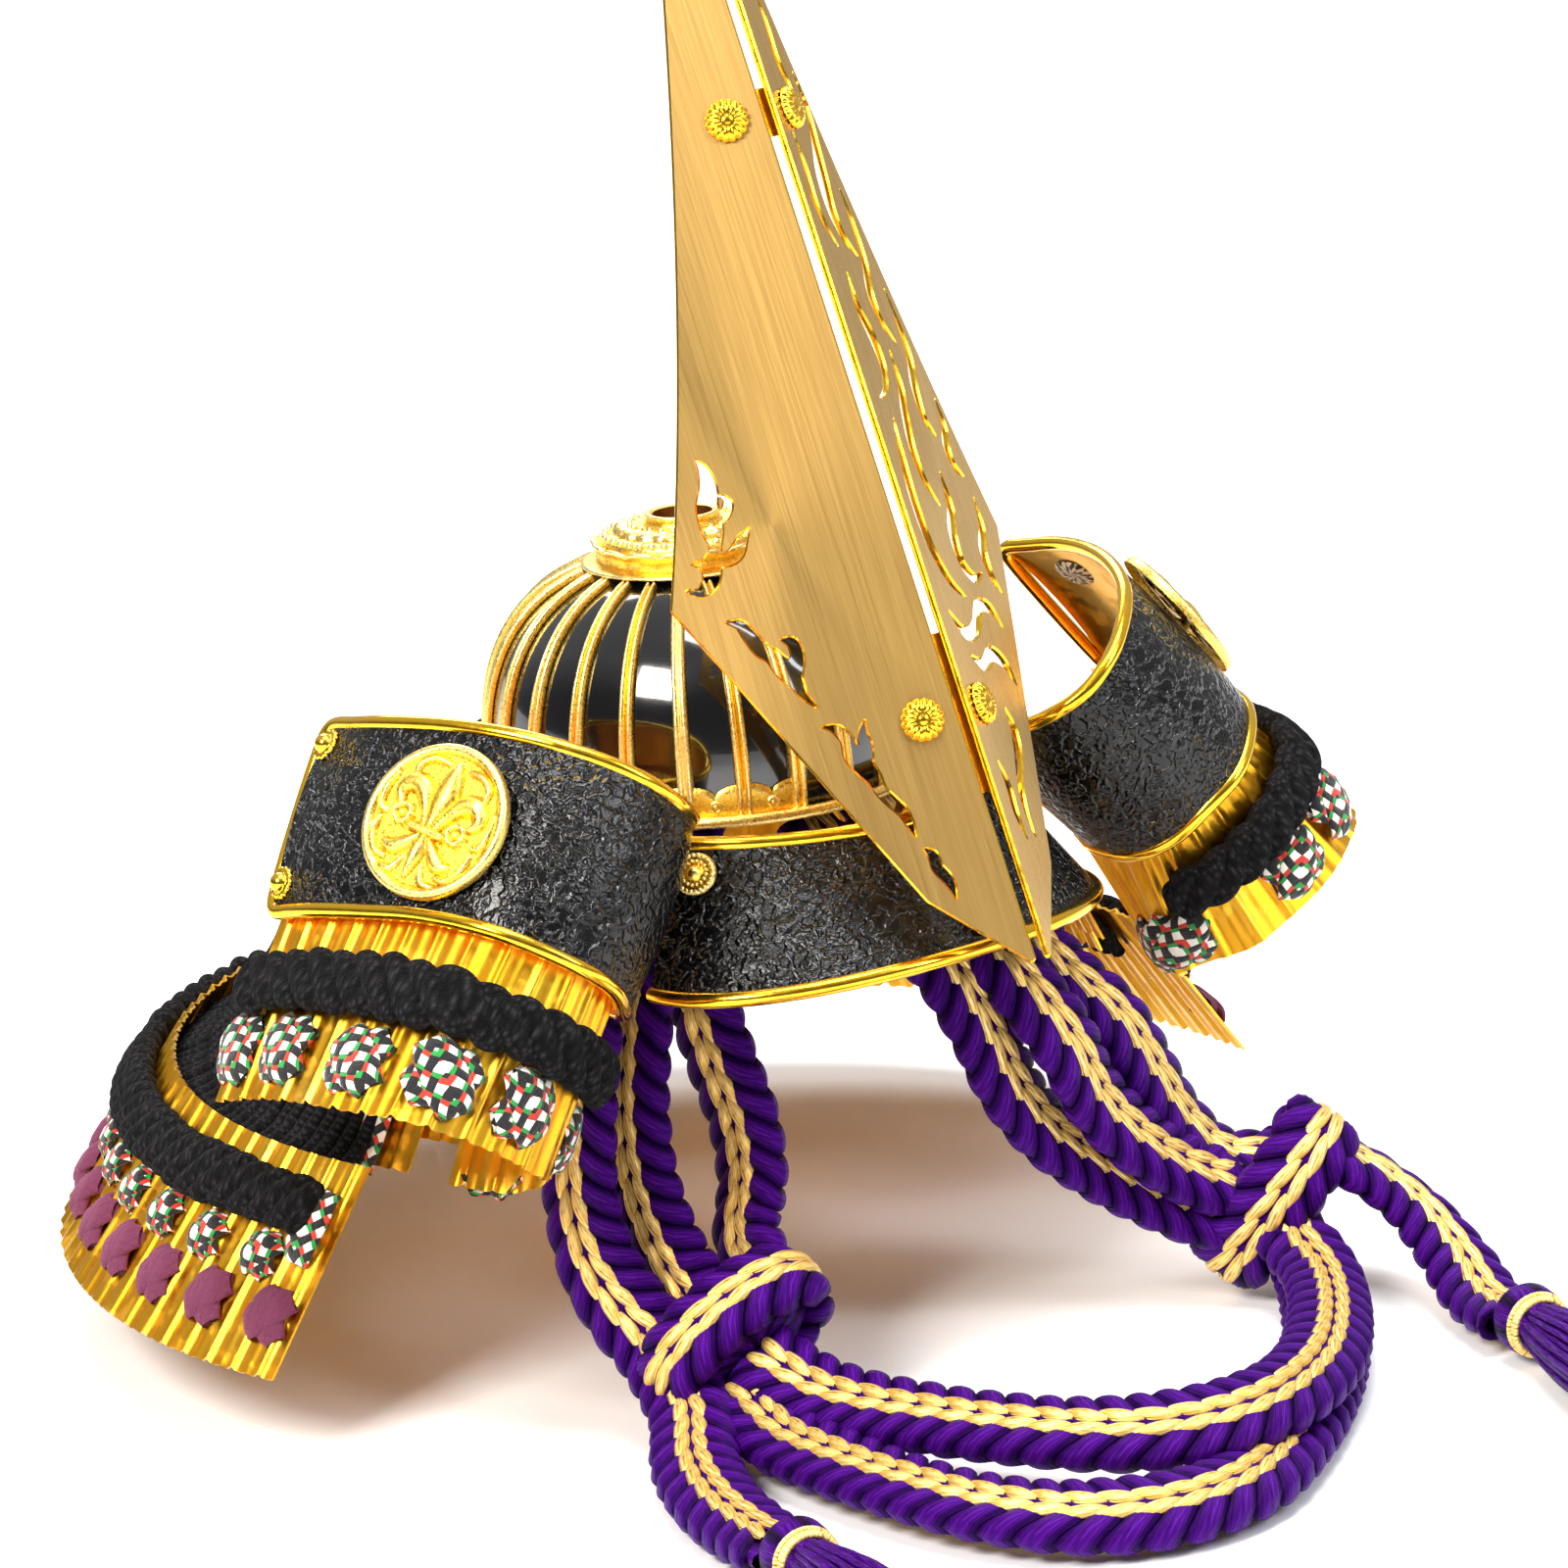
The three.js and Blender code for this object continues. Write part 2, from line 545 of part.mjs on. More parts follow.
const SCROLL_STROKES = [
  [[172, 8.5, 0], [166, 9.6, 0.5], [160, 9.2, 0.8], [154, 10.8, 0.6], [148.5, 10.6, 0]],
  [[157, 14.4, 0], [150, 15.6, 0.6], [144, 14.2, 1.3], [138, 12.4, 2.2], [132, 11.8, 1.6], [127, 13.8, 0.8],
    [124, 17, 0]],
  [[146, 5.6, 0], [140, 6.2, 0.6], [134, 5.6, 0.9], [129, 7.2, 0.5], [126, 9.4, 0]],
  [[136, 18.6, 0], [130, 19.6, 0.6], [123, 19.2, 1.0], [117, 17.2, 1.2], [112, 18.4, 0.7], [108.6, 21.6, 0]],
  [[121, 9.6, 0], [115, 9.6, 0.9], [109, 11.8, 1.4], [104, 12.2, 1.0], [100, 9.6, 0.6], [98.8, 6.4, 0]],
  [[118, 24.4, 0], [112, 25.6, 0.5], [106, 25.8, 1.0], [100, 23.6, 1.3], [95, 23.6, 0.8], [91.4, 26.4, 0]],
  [[107, 17.6, 0], [101, 17.4, 0.9], [95.6, 15.2, 1.3], [90, 13.6, 1.2], [84, 14.4, 0.8], [79.4, 17.6, 0]],
  [[95, 9.2, 0], [88, 7.6, 1.0], [80, 6.6, 1.4], [72, 7.8, 1.2], [66, 11.4, 0.8], [63, 16, 0]],
  [[98, 31.4, 0], [93, 31.6, 0.8], [89.4, 29.6, 1.2], [86, 30.4, 0.7], [84, 33.2, 0]],
  [[85, 22.6, 0], [79, 22.4, 1.1], [74, 19.4, 1.5], [69, 19.4, 1.1], [66, 23, 0.8], [66.6, 27, 0]],
  [[80, 34.6, 0], [74.6, 34, 0.9], [70.6, 31, 1.3], [66, 31.2, 0.9], [62.6, 33.6, 0]],
  [[61, 6.4, 0], [57, 10.4, 1.0], [57.4, 16, 1.3], [61, 20.4, 1.2], [60.4, 25.6, 0.9], [56.6, 28.8, 0]],
  [[53, 9.6, 0], [51, 14.4, 1.0], [52.6, 19.6, 1.3], [50.4, 24.4, 1.0], [46.4, 26.4, 0]],
  [[43, 17.6, 0], [39, 18.4, 1.2], [34.6, 16.6, 1.4], [30.4, 13.6, 1.0], [25.6, 12, 0.7], [20.6, 12.4, 0]],
  [[34.4, 6.6, 0], [30, 7.6, 0.9], [25.4, 7.2, 0.9], [20.4, 8.4, 0]],
];

// A smooth tapering stroke cut right through the blade.
function strokeCutter(rows) {
  const points = rows.map(([s, w, half]) => vector(s, w, half));
  const spine = new THREE.CatmullRomCurve3(points, false, 'centripetal');
  const count = rows.length;
  const sides = [[], []];
  for (let i = 0; i <= count; i += 1) {
    const point = spine.getPoint(i / count);
    const direction = spine.getTangent(i / count);
    const span = Math.hypot(direction.x, direction.y);
    const half = Math.max(point.z, 0.05);
    const [ns, nw] = [-direction.y / span, direction.x / span];
    sides[0].push(new THREE.Vector2(point.x + half * ns, point.y + half * nw));
    sides[1].push(new THREE.Vector2(point.x - half * ns, point.y - half * nw));
  }
  const outline = new THREE.Shape([...sides[0], ...sides[1].reverse()]);
  return new THREE.ExtrudeGeometry(outline, { depth: 6, bevelEnabled: false }).translate(0, 0, -3);
}

// A blade lies in its own s, w plane here; side is +1 for the helmet's left blade.
function blade(strokes) {
  const { lowCorner, sideCorner, upperBend } = BLADE_OUTLINE;
  const outline = new THREE.Shape();
  outline.moveTo(0.6, CREST.spread);
  outline.lineTo(CREST.tip, CREST.spread);
  outline.lineTo(CREST.tip, CREST.spread + 0.6);
  outline.quadraticCurveTo(...upperBend, ...sideCorner);
  outline.lineTo(...lowCorner);
  outline.lineTo(0.2, CREST.spread + 0.8);
  const extent = { depth: CREST.thickness, bevelEnabled: false, curveSegments: 6 };
  const flat = new THREE.ExtrudeGeometry(outline, extent).translate(0, 0, -CREST.thickness / 2);
  const pierced = strokes.reduce((solid, rows) => solid.subtract(toSolid(strokeCutter(rows))), toSolid(flat));
  return fromSolid(pierced.simplify(SLACK));
}

function onCrest(geometry, side) {
  const basis = new THREE.Matrix4().makeBasis(ridge, bladeAcross, bladeNormal).setPosition(CREST_FOOT);
  const placed = geometry.clone().applyMatrix4(basis);
  return side > 0 ? placed : mirrored(placed);
}

addPiece('crest_blade_left', onCrest(blade(SCROLL_STROKES), 1), 'satinGold');
addPiece('crest_blade_right', onCrest(blade(FLAME_STROKES), -1), 'satinGold');

const CREST_RIVET = [
  // radius, height
  [0, 0], [3.7, 0], [3.7, 0.6], [2.7, 1.3], [1.4, 1.7], [0, 1.7],
];
for (const [level, s, w] of [['lower', 44.6, 7.2], ['upper', 150.4, 7.6]]) {
  const head = turned(CREST_RIVET, 10).translate(s, w, CREST.thickness / 2 + GAP);
  addPiece(`crest_rivet_${level}_left`, onCrest(head, 1), 'gold');
  addPiece(`crest_rivet_${level}_right`, onCrest(head, -1), 'gold');
}

// A strap folded behind both blades: a section across the ridge, drawn up it from one height to another.
function foldedStrap(low, high, ear, thickness = 1.2) {
  const behind = CREST.thickness / 2 + GAP;
  const edge = (w, depth) => {
    const x = w * Math.cos(CREST_TURN) - depth * Math.sin(CREST_TURN);
    const back = w * Math.sin(CREST_TURN) + depth * Math.cos(CREST_TURN);
    return [x, back];
  };
  const front = [edge(ear, behind), edge(2.6, behind)];
  const rear = [edge(2.6, behind + thickness), edge(ear, behind + thickness)];
  const mirror = ([x, back]) => [-x, back];
  const outline = new THREE.Shape([
    ...front, ...front.map(mirror).reverse(), ...rear.map(mirror).reverse(), ...rear,
  ].map(([x, back]) => new THREE.Vector2(x, back)));
  const extent = { depth: high - low, bevelEnabled: false };
  const flat = new THREE.ExtrudeGeometry(outline, extent).translate(0, 0, low);
  const basis = new THREE.Matrix4().makeBasis(vector(1, 0, 0), ridgeBack, ridge).setPosition(CREST_FOOT);
  return flat.applyMatrix4(basis);
}

// The holder's tongue reaches back and down from the strap to rest on the visor's top band.
function holderTongue() {
  const rows = [
    // y, z
    [-72.7, 13.5], [-68, 12], [-62.5, 7.5], [-58.4, 1.1], [-56.4, 1.1], [-60.5, 9.4], [-67, 15], [-71.6, 17],
  ];
  const outline = new THREE.Shape(rows.map(([y, z]) => new THREE.Vector2(y, z)));
  const side = new THREE.ExtrudeGeometry(outline, { depth: 6.6, bevelEnabled: false }).translate(0, 0, -3.3);
  return side.applyMatrix4(new THREE.Matrix4().makeBasis(vector(0, 1, 0), vector(0, 0, 1), vector(1, 0, 0)));
}

addPiece('crest_bracket', join([foldedStrap(30, 58, 12.5), holderTongue()]), 'gold');
addPiece('crest_spacer', foldedStrap(146, 154.5, 11), 'gold');

// ---------------------------------------------------------------- chin cord

// Routes of the flat cord: the ways its broad face looks, evenly spaced along it, then x, y, z rows.
const RIGHT_FACE = [[-0.95, -0.12, 0.28], [-0.95, -0.12, 0.28]];
const LEFT_FACE = [[0, -0.7, 0.7], [0, -0.7, 0.7]];
// Each strand gives way to the ones listed before it where they press together.
const CORD_ROUTES = {
  chin_cord_front_upper: {
    faces: [
      [-0.3, -0.5, 0.8], [0, -0.4, 0.9], [0, -0.4, 0.92], [0, -0.6, 0.8], [-0.1, -0.6, 0.8],
      [-0.4, -0.5, 0.77],
    ],
    rows: [
      [55, -85, -81.8], [52.2, -91, -84.8], [47.1, -101.5, -86.5], [32.9, -118.4, -86.5], [16.4, -132.6, -86],
      [0, -140.6, -85.2], [-13, -141.6, -84.8], [-24.4, -136.9, -84.8], [-31.8, -128.5, -85],
      [-37.6, -116.3, -85.4], [-42.3, -102.2, -85.8], [-45.8, -88.8, -86], [-47.7, -78.3, -85.2],
      [-48.9, -66, -81.8],
    ],
  },
  chin_cord_front_lower: {
    faces: [
      [0, -0.1, 1], [0, -0.05, 1], [0, -0.1, 1], [0, -0.5, 0.87], [-0.1, -0.5, 0.87], [-0.4, -0.3, 0.87],
    ],
    rows: [
      [56.5, -83, -86.5], [56.5, -89, -91.5], [45, -104.1, -93], [25.1, -124.2, -93], [2, -141.5, -92.6],
      [-20, -152.4, -91.4], [-35.9, -151.7, -90.8], [-48.2, -143.2, -90.4], [-55.1, -128.7, -90.2],
      [-57.5, -112.8, -90.2], [-58, -96.5, -90.2], [-56.8, -80.7, -89.8], [-53, -66, -86.6],
    ],
  },
  chin_cord_left_middle: { faces: LEFT_FACE, rows: [
    [15, -26, -6], [15, -42, -18], [17.3, -59, -31.5], [21.2, -68, -43.6], [26, -69.5, -55.1],
    [32.5, -72.2, -63.8], [41, -74.5, -71], [50.2, -78.5, -76.1],
  ] },
  chin_cord_left_inner: { faces: LEFT_FACE, rows: [
    [0, -27, -6], [2, -43, -18], [7, -54, -29], [10.5, -59, -40.5], [14.2, -61.2, -52],
    [20, -63, -61], [28.2, -65.5, -68.6], [36, -69.2, -74.6], [44.2, -74.6, -79.9],
  ] },
  chin_cord_left_outer: { faces: LEFT_FACE, rows: [
    [28, -22, -6], [28.5, -36, -17], [32.5, -52, -35], [39.2, -61, -46], [43.3, -65, -56.7],
    [46.7, -68, -65.2], [51.7, -73.5, -72.2],
  ] },
  chin_cord_right_outer: { faces: RIGHT_FACE, rows: [
    [-40, -18, -5], [-44, -22, -20], [-50, -26.5, -33], [-55, -29.5, -46], [-58.5, -32.5, -58],
    [-59.5, -37, -68.5], [-58.5, -43, -76.2], [-57.7, -48.9, -80.9],
  ] },
  chin_cord_right_middle: { faces: RIGHT_FACE, rows: [
    [-31.5, -21.5, -5], [-35.5, -25.5, -20], [-41, -29, -33], [-45, -31.5, -46], [-47, -35, -57.5],
    [-47.8, -40.5, -66.8], [-48, -46, -72.6], [-48.2, -51.3, -75.8],
  ] },
  chin_cord_right_inner: { faces: RIGHT_FACE, rows: [
    [-23, -25, -5], [-27, -29, -20], [-29, -32.5, -31], [-28.5, -36, -41.5], [-27.8, -39.5, -51],
    [-30, -43.5, -60], [-35.5, -48, -66.8], [-38.6, -53.3, -70.5],
  ] },
  chin_cord_right_tail: { faces: [[-0.5, -0.3, 0.82], [-0.2, -0.2, 0.96], [0, 0, 1]], rows: [
    [-61.5, -62.5, -88], [-71.5, -76, -91.5], [-78.5, -90, -92.5], [-83, -105, -92.5], [-87, -119, -91],
  ] },
  chin_cord_left_tail: { faces: [[0.3, -0.5, 0.8], [0.2, -0.2, 0.95], [0, 0, 1]], rows: [
    [65.6, -86.5, -73.4], [72, -98, -81], [71, -110, -88], [66, -122, -92], [61, -135, -91],
  ] },
};

function cordTube({ faces, rows }, grow = 0) {
  const points = rows.map((row) => vector(...row));
  const looks = faces.map((row) => vector(...row));
  const route = new Route(points);
  const steps = points.length - 1;
  // The section's X lies along these normals, across the cord and in its broad face.
  route.computeFrenetFrames = () => {
    const tangents = points.map((_, i) => route.getTangent(i / steps));
    const normals = tangents.map((tangent, i) => {
      const place = (looks.length - 1) * i / steps;
      const first = Math.min(Math.floor(place), looks.length - 2);
      const look = looks[first].clone().lerp(looks[first + 1], place - first);
      return tangent.clone().cross(look).normalize();
    });
    const binormals = tangents.map((tangent, i) => tangent.clone().cross(normals[i]));
    return { tangents, normals, binormals };
  };
  const section = ovalSection(CORD.width / 2 + grow, CORD.thickness / 2 + grow, 8);
  return new THREE.ExtrudeGeometry(section, { steps, extrudePath: route, bevelEnabled: false });
}

// Each knot is an oval barrel round the bundle: centre, the bundle's way, the barrel's broad way.
const KNOT = { halfLength: 8.5, halfWidth: 18, halfDepth: 10.5 };
const KNOTS = {
  chin_knot_right: { centre: [-48.5, -59.5, -79], bundle: [-0.04, -0.93, -0.37], broad: [0.86, -0.22, 0.46] },
  chin_knot_left: { centre: [56.4, -81, -78.5], bundle: [0.5, -0.6, -0.62], broad: [0.63, -0.24, 0.74] },
};

function knotBarrel({ centre, bundle, broad }, grow = 0) {
  const [length, width, depth] = [KNOT.halfLength, KNOT.halfWidth, KNOT.halfDepth].map((half) => half + grow);
  const profile = [
    [0, -length], [0.86, -length], [1, -0.45 * length], [1, 0.45 * length], [0.86, length], [0, length],
  ];
  const z = vector(...bundle).normalize();
  const y = z.clone().cross(vector(...broad)).normalize();
  const x = y.clone().cross(z);
  return turned(profile, 12).scale(width, depth, 1)
    .applyMatrix4(new THREE.Matrix4().makeBasis(x, y, z).setPosition(vector(...centre)));
}

for (const [name, row] of Object.entries(KNOTS)) addPiece(name, knotBarrel(row), 'purpleCord');

// Cords stop just short of the knots and of the strands already laid.
const clearances = Object.values(KNOTS).map((row) => toSolid(knotBarrel(row, GAP)));
for (const [name, route] of Object.entries(CORD_ROUTES)) {
  const whole = toSolid(cordTube(route));
  const trimmed = clearances.reduce((solid, clearance) => solid.subtract(clearance), whole);
  addPiece(name, fromSolid(trimmed.simplify(SLACK)), 'purpleCord');
  clearances.push(toSolid(cordTube(route, GAP)));
}

// A tassel lies on from each tail: a bound head and a skirt of locks.
const TASSEL = { locks: 7, depth: 0.08, skirtStart: 10, gap: 0.6, height: -89.5, rise: 0.03 };
const TASSEL_PROFILE = [
  // radius, distance from the cord
  [0, 0], [4.2, 0], [6.2, 2.6], [6.2, 6], [4.7, 8.4], [5.4, 10.5], [7.2, 20], [7.6, 38], [0, 38],
];

function tassel(tail) {
  const rows = CORD_ROUTES[tail].rows.map((row) => vector(...row));
  const end = rows.at(-1);
  const way = end.clone().sub(rows.at(-2)).setZ(0).normalize().setZ(TASSEL.rise).normalize();
  const geometry = turned(TASSEL_PROFILE, 2 * TASSEL.locks);
  const place = geometry.attributes.position;
  for (let i = 0; i < place.count; i += 1) {
    const turn = Math.atan2(place.getY(i), place.getX(i));
    const lobe = place.getZ(i) > TASSEL.skirtStart ? 1 + TASSEL.depth * Math.cos(TASSEL.locks * turn) : 1;
    place.setXY(i, place.getX(i) * lobe, place.getY(i) * lobe);
  }
  return setOn(geometry, end.addScaledVector(way, TASSEL.gap).setZ(TASSEL.height), way);
}

addPiece('tassel_right', tassel('chin_cord_right_tail'), 'purpleCord');
addPiece('tassel_left', tassel('chin_cord_left_tail'), 'purpleCord');

export default kabuto;
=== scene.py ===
"""Kabuto samurai helmet at one-third scale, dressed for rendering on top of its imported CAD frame."""

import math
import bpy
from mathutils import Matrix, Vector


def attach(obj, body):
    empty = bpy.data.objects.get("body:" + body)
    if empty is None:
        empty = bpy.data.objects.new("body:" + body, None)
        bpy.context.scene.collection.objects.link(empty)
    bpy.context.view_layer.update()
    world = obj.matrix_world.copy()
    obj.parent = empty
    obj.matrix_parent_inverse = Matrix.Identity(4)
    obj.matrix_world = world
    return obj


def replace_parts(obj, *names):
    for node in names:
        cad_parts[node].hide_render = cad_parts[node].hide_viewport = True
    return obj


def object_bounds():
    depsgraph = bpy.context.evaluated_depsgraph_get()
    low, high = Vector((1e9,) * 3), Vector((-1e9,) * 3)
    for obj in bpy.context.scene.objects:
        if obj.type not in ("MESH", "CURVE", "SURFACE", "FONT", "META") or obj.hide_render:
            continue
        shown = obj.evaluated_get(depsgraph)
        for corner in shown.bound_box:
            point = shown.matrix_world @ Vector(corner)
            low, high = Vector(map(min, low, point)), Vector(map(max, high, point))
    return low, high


bl_info = {
    "name": "Kabuto Helmet",
    "version": (1, 0, 0),
    "blender": (4, 5, 0),
    "location": "3D View > Sidebar > Kabuto",
    "description": "Builds a ribbed kabuto with its crest, lames, laces and braided chin cord",
    "category": "Object",
}

import bmesh
import bpy
import numpy as np
from mathutils import Matrix, Vector

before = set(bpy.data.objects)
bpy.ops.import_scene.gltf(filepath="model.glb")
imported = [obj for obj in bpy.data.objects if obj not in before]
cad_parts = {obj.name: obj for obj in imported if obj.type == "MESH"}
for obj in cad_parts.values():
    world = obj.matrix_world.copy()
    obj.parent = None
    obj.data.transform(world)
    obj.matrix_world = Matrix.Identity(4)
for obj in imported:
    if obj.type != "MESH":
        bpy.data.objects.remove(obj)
CAD_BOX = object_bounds()

MM = 0.001


# ---------------------------------------------------------------- shapes, in millimetres


def vec(*values):
    """A row of numbers to reckon with."""
    return np.array(values, dtype=float)


def unit(array):
    """Rows made one long."""
    length = np.linalg.norm(array, axis=-1, keepdims=True)
    return array / np.maximum(length, 1e-9)


class Shape:
    """Grids of points gathered into one mesh; UVs are in millimetres along and across each grid."""

    def __init__(self):
        self.points, self.quads, self.uvs, self.slots = [], [], [], []
        self.count = 0

    def grid(self, points, slot=0, wrap_rows=False, wrap_columns=False, along=None, across=None):
        rows, columns = points.shape[:2]
        row = np.arange(rows if wrap_rows else rows - 1)
        column = np.arange(columns if wrap_columns else columns - 1)
        i, j = (part.ravel() for part in np.meshgrid(row, column, indexing="ij"))
        a, b = i * columns, ((i + 1) % rows) * columns
        k = (j + 1) % columns
        quads = np.stack([a + j, a + k, b + k, b + j], axis=1) + self.count
        along = np.arange(rows + 1.0) if along is None else along
        across = np.arange(columns + 1.0) if across is None else across
        corners = [(i, j), (i, j + 1), (i + 1, j + 1), (i + 1, j)]
        uv = np.stack([np.stack([along[p], across[q]], axis=1) for p, q in corners], axis=1)
        self.points.append(points.reshape(-1, 3))
        self.quads.append(quads)
        self.uvs.append(uv.reshape(-1, 2))
        self.slots.append(np.full(len(quads), slot))
        self.count += rows * columns

    def tube(self, centres, side, face, half_width, half_height, sides=8, closed=False):
        """An oval tube along centres; side and face are unit rows, the halves numbers or rows."""
        count = len(centres)
        turn = np.arange(sides) * 2 * math.pi / sides
        cos, sin = np.cos(turn), np.sin(turn)
        wide = np.broadcast_to(half_width, count)[:, None, None]
        high = np.broadcast_to(half_height, count)[:, None, None]
        points = centres[:, None] + wide * cos[:, None] * side[:, None] + high * sin[:, None] * face[:, None]
        steps = np.linalg.norm(np.diff(centres, axis=0, append=centres[:1]), axis=1)
        along = np.concatenate([[0], np.cumsum(steps)])
        girth = math.pi * (np.mean(half_width) + np.mean(half_height))
        across = np.linspace(0, girth, sides + 1)
        self.grid(points, wrap_rows=closed, wrap_columns=True, along=along, across=across)

    def revolve(self, profile, segments, place=None, slot=0, lobes=None):
        """A profile of radius, height rows turned about Z; lobes reshapes its radius and height by turn."""
        rows = np.array(profile, dtype=float)
        turn = np.arange(segments) * 2 * math.pi / segments
        radius = rows[:, :1] * np.ones(segments)
        height = rows[:, 1:2] * np.ones(segments)
        if lobes is not None:
            radius, height = lobes(radius, height, turn)
        points = np.stack([radius * np.cos(turn), radius * np.sin(turn), height], axis=-1)
        if place is not None:
            points = carried(points, place)
        steps = np.linalg.norm(np.diff(rows, axis=0), axis=1)
        along = np.concatenate([[0], np.cumsum(steps), [0]])
        across = np.linspace(0, 2 * math.pi * rows[:, 0].max(), segments + 1)
        self.grid(points, slot, wrap_columns=True, along=along, across=across)

    def mesh(self, name):
        mesh = bpy.data.meshes.new(name)
        quads = np.concatenate(self.quads)
        mesh.from_pydata((np.concatenate(self.points) * MM).tolist(), [], quads.tolist())
        mesh.uv_layers.new(name="millimetres").data.foreach_set("uv", np.concatenate(self.uvs).ravel())
        mesh.polygons.foreach_set("material_index", np.concatenate(self.slots).astype(np.int32))
        mesh.polygons.foreach_set("use_smooth", np.ones(len(quads), dtype=bool))
        return mesh

    def build(self, name, materials, finish_slot):
        mesh = self.mesh(name)
        for material in materials:
            mesh.materials.append(material)
        return finish_mesh(name, mesh)


def finish_mesh(name, mesh):
    """Makes the mesh a piece that rides with the helmet, its faces turned outward."""
    form = bmesh.new()
    form.from_mesh(mesh)
    bmesh.ops.recalc_face_normals(form, faces=form.faces)
    form.to_mesh(mesh)
    form.free()
    piece = bpy.data.objects.new(name, mesh)
    bpy.context.scene.collection.objects.link(piece)
    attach(piece, "root")
    return piece


def dress(node, material):
    """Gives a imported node's object its finished material."""
    for slot in bpy.data.objects[node].material_slots:
        slot.material = material


def mirrored(points):
    return points * vec(-1, 1, 1)


def edge_line(rows, u):
    """A centripetal Catmull-Rom line through rows, at places u from 0 to 1."""
    rows = np.asarray(rows, dtype=float)
    last = len(rows) - 1
    place = np.clip(u, 0, 1) * last
    first = np.minimum(place.astype(int), last - 1)
    w = (place - first)[..., None]
    padded = np.vstack([2 * rows[0] - rows[1], rows, 2 * rows[-1] - rows[-2]])
    p0, p1, p2, p3 = (padded[first + k] for k in range(4))
    spans = ((p0, p1), (p1, p2), (p2, p3))
    d0, d1, d2 = (np.linalg.norm(b - a, axis=-1, keepdims=True) ** 0.5 for a, b in spans)
    t1 = ((p1 - p0) / d0 - (p2 - p0) / (d0 + d1) + (p2 - p1) / d1) * d1
    t2 = ((p2 - p1) / d1 - (p3 - p1) / (d1 + d2) + (p3 - p2) / d2) * d1
    return p1 + t1 * w + (3 * (p2 - p1) - 2 * t1 - t2) * w**2 + (2 * (p1 - p2) + t1 + t2) * w**3


def smooth_route(rows, step):
    """Points about step apart along a smooth line through rows."""
    rows = np.asarray(rows, dtype=float)
    line = edge_line(rows, np.linspace(0, 1, 24 * len(rows)))
    travelled = np.concatenate([[0], np.cumsum(np.linalg.norm(np.diff(line, axis=0), axis=1))])
    count = max(4, round(travelled[-1] / step))
    places = np.linspace(0, travelled[-1], count + 1)
    return np.stack([np.interp(places, travelled, line[:, k]) for k in range(3)], axis=1)


def frames_along(centres, looks, closed=False):
    """Tangent, side and face rows for a route whose face looks along the given directions."""
    if closed:
        tangent = unit(np.roll(centres, -1, axis=0) - np.roll(centres, 1, axis=0))
    else:
        tangent = unit(np.gradient(centres, axis=0))
    looks = np.asarray(looks, dtype=float)
    place = np.linspace(0, len(looks) - 1, len(centres))
    look = np.stack([np.interp(place, np.arange(len(looks)), looks[:, k]) for k in range(3)], axis=1)
    side = unit(np.cross(tangent, look))
    return tangent, side, np.cross(side, tangent)


class Surface:
    """A ruled surface between two edge functions of u, from 0 to 1; v runs down it."""

    def __init__(self, top, bottom, belly=0.0):
        self.top, self.bottom, self.belly = top, bottom, belly

    def at(self, u, v, lift=0.0):
        u, v, lift = np.broadcast_arrays(*(np.asarray(value, float) for value in (u, v, lift)))
        flat = self._flat(u, v)
        step = 1e-3
        along = self._flat(np.minimum(u + step, 1), v) - self._flat(np.maximum(u - step, 0), v)
        normal = unit(np.cross(along, self._flat(u, np.ones_like(v)) - self._flat(u, np.zeros_like(v))))
        return flat + normal * (lift + self.belly * 4 * v * (1 - v))[..., None]

    def _flat(self, u, v):
        v = v[..., None]
        return self.top(u) * (1 - v) + self.bottom(u) * v

    def place(self, u, v, lift=0.0, flip=False):
        """A matrix whose Z is the normal, Y up the slope and X across."""
        point = self.at(u, v, lift)
        up = unit(self.at(u, v - 0.02) - self.at(u, v + 0.02))
        along = self.at(min(u + 0.004, 1), v) - self.at(max(u - 0.004, 0), v)
        normal = unit(np.cross(along, -up))
        if flip:
            point, up, normal = (mirrored(part) for part in (point, up, normal))
        return basis(point, normal, up)

    def reach(self, v):
        """Places u and the millimetres travelled at them along the surface at v."""
        u = np.linspace(0, 1, 600)
        line = self.at(u, np.full(600, v))
        return u, np.concatenate([[0], np.cumsum(np.linalg.norm(np.diff(line, axis=0), axis=1))])


def basis(point, normal, up):
    """A matrix at point whose Z is the normal and whose Y is as near up as it can be."""
    z = Vector(normal).normalized()
    x = Vector(up).cross(z).normalized()
    y = z.cross(x)
    turn = Matrix((x, y, z)).transposed().to_4x4()
    turn.translation = Vector(point)
    return turn


def carried(points, place):
    """Points moved by a matrix."""
    return points @ np.array(place.to_3x3()).T + np.array(place.translation)


def plate(shape, surface, u, v, lift, thickness, slots=(0, 0), flip=False, drop=None):
    """A closed wall on a surface: lift is a row over u and v of the outer face's height."""
    uu, vv = np.meshgrid(u, v, indexing="ij")
    lift = np.broadcast_to(lift, uu.shape)
    low = vv if drop is None else vv + drop
    outer = surface.at(uu, low, lift)
    inner = surface.at(uu, low, lift - thickness)
    if flip:
        outer, inner = mirrored(outer), mirrored(inner)
    steps = np.linalg.norm(np.diff(outer[:, 0], axis=0), axis=1)
    along = np.concatenate([[0], np.cumsum(steps), [0]])
    downs = np.linalg.norm(np.diff(outer[0], axis=0), axis=1)
    across = np.concatenate([[0], np.cumsum(downs), [0]])
    shape.grid(outer, slots[0], along=along, across=across)
    shape.grid(inner, slots[1], along=along, across=across)
    for side in ((0,), (-1,), (slice(None), 0), (slice(None), -1)):
        shape.grid(np.stack([outer[side], inner[side]]), slots[0])


# ---------------------------------------------------------------- materials

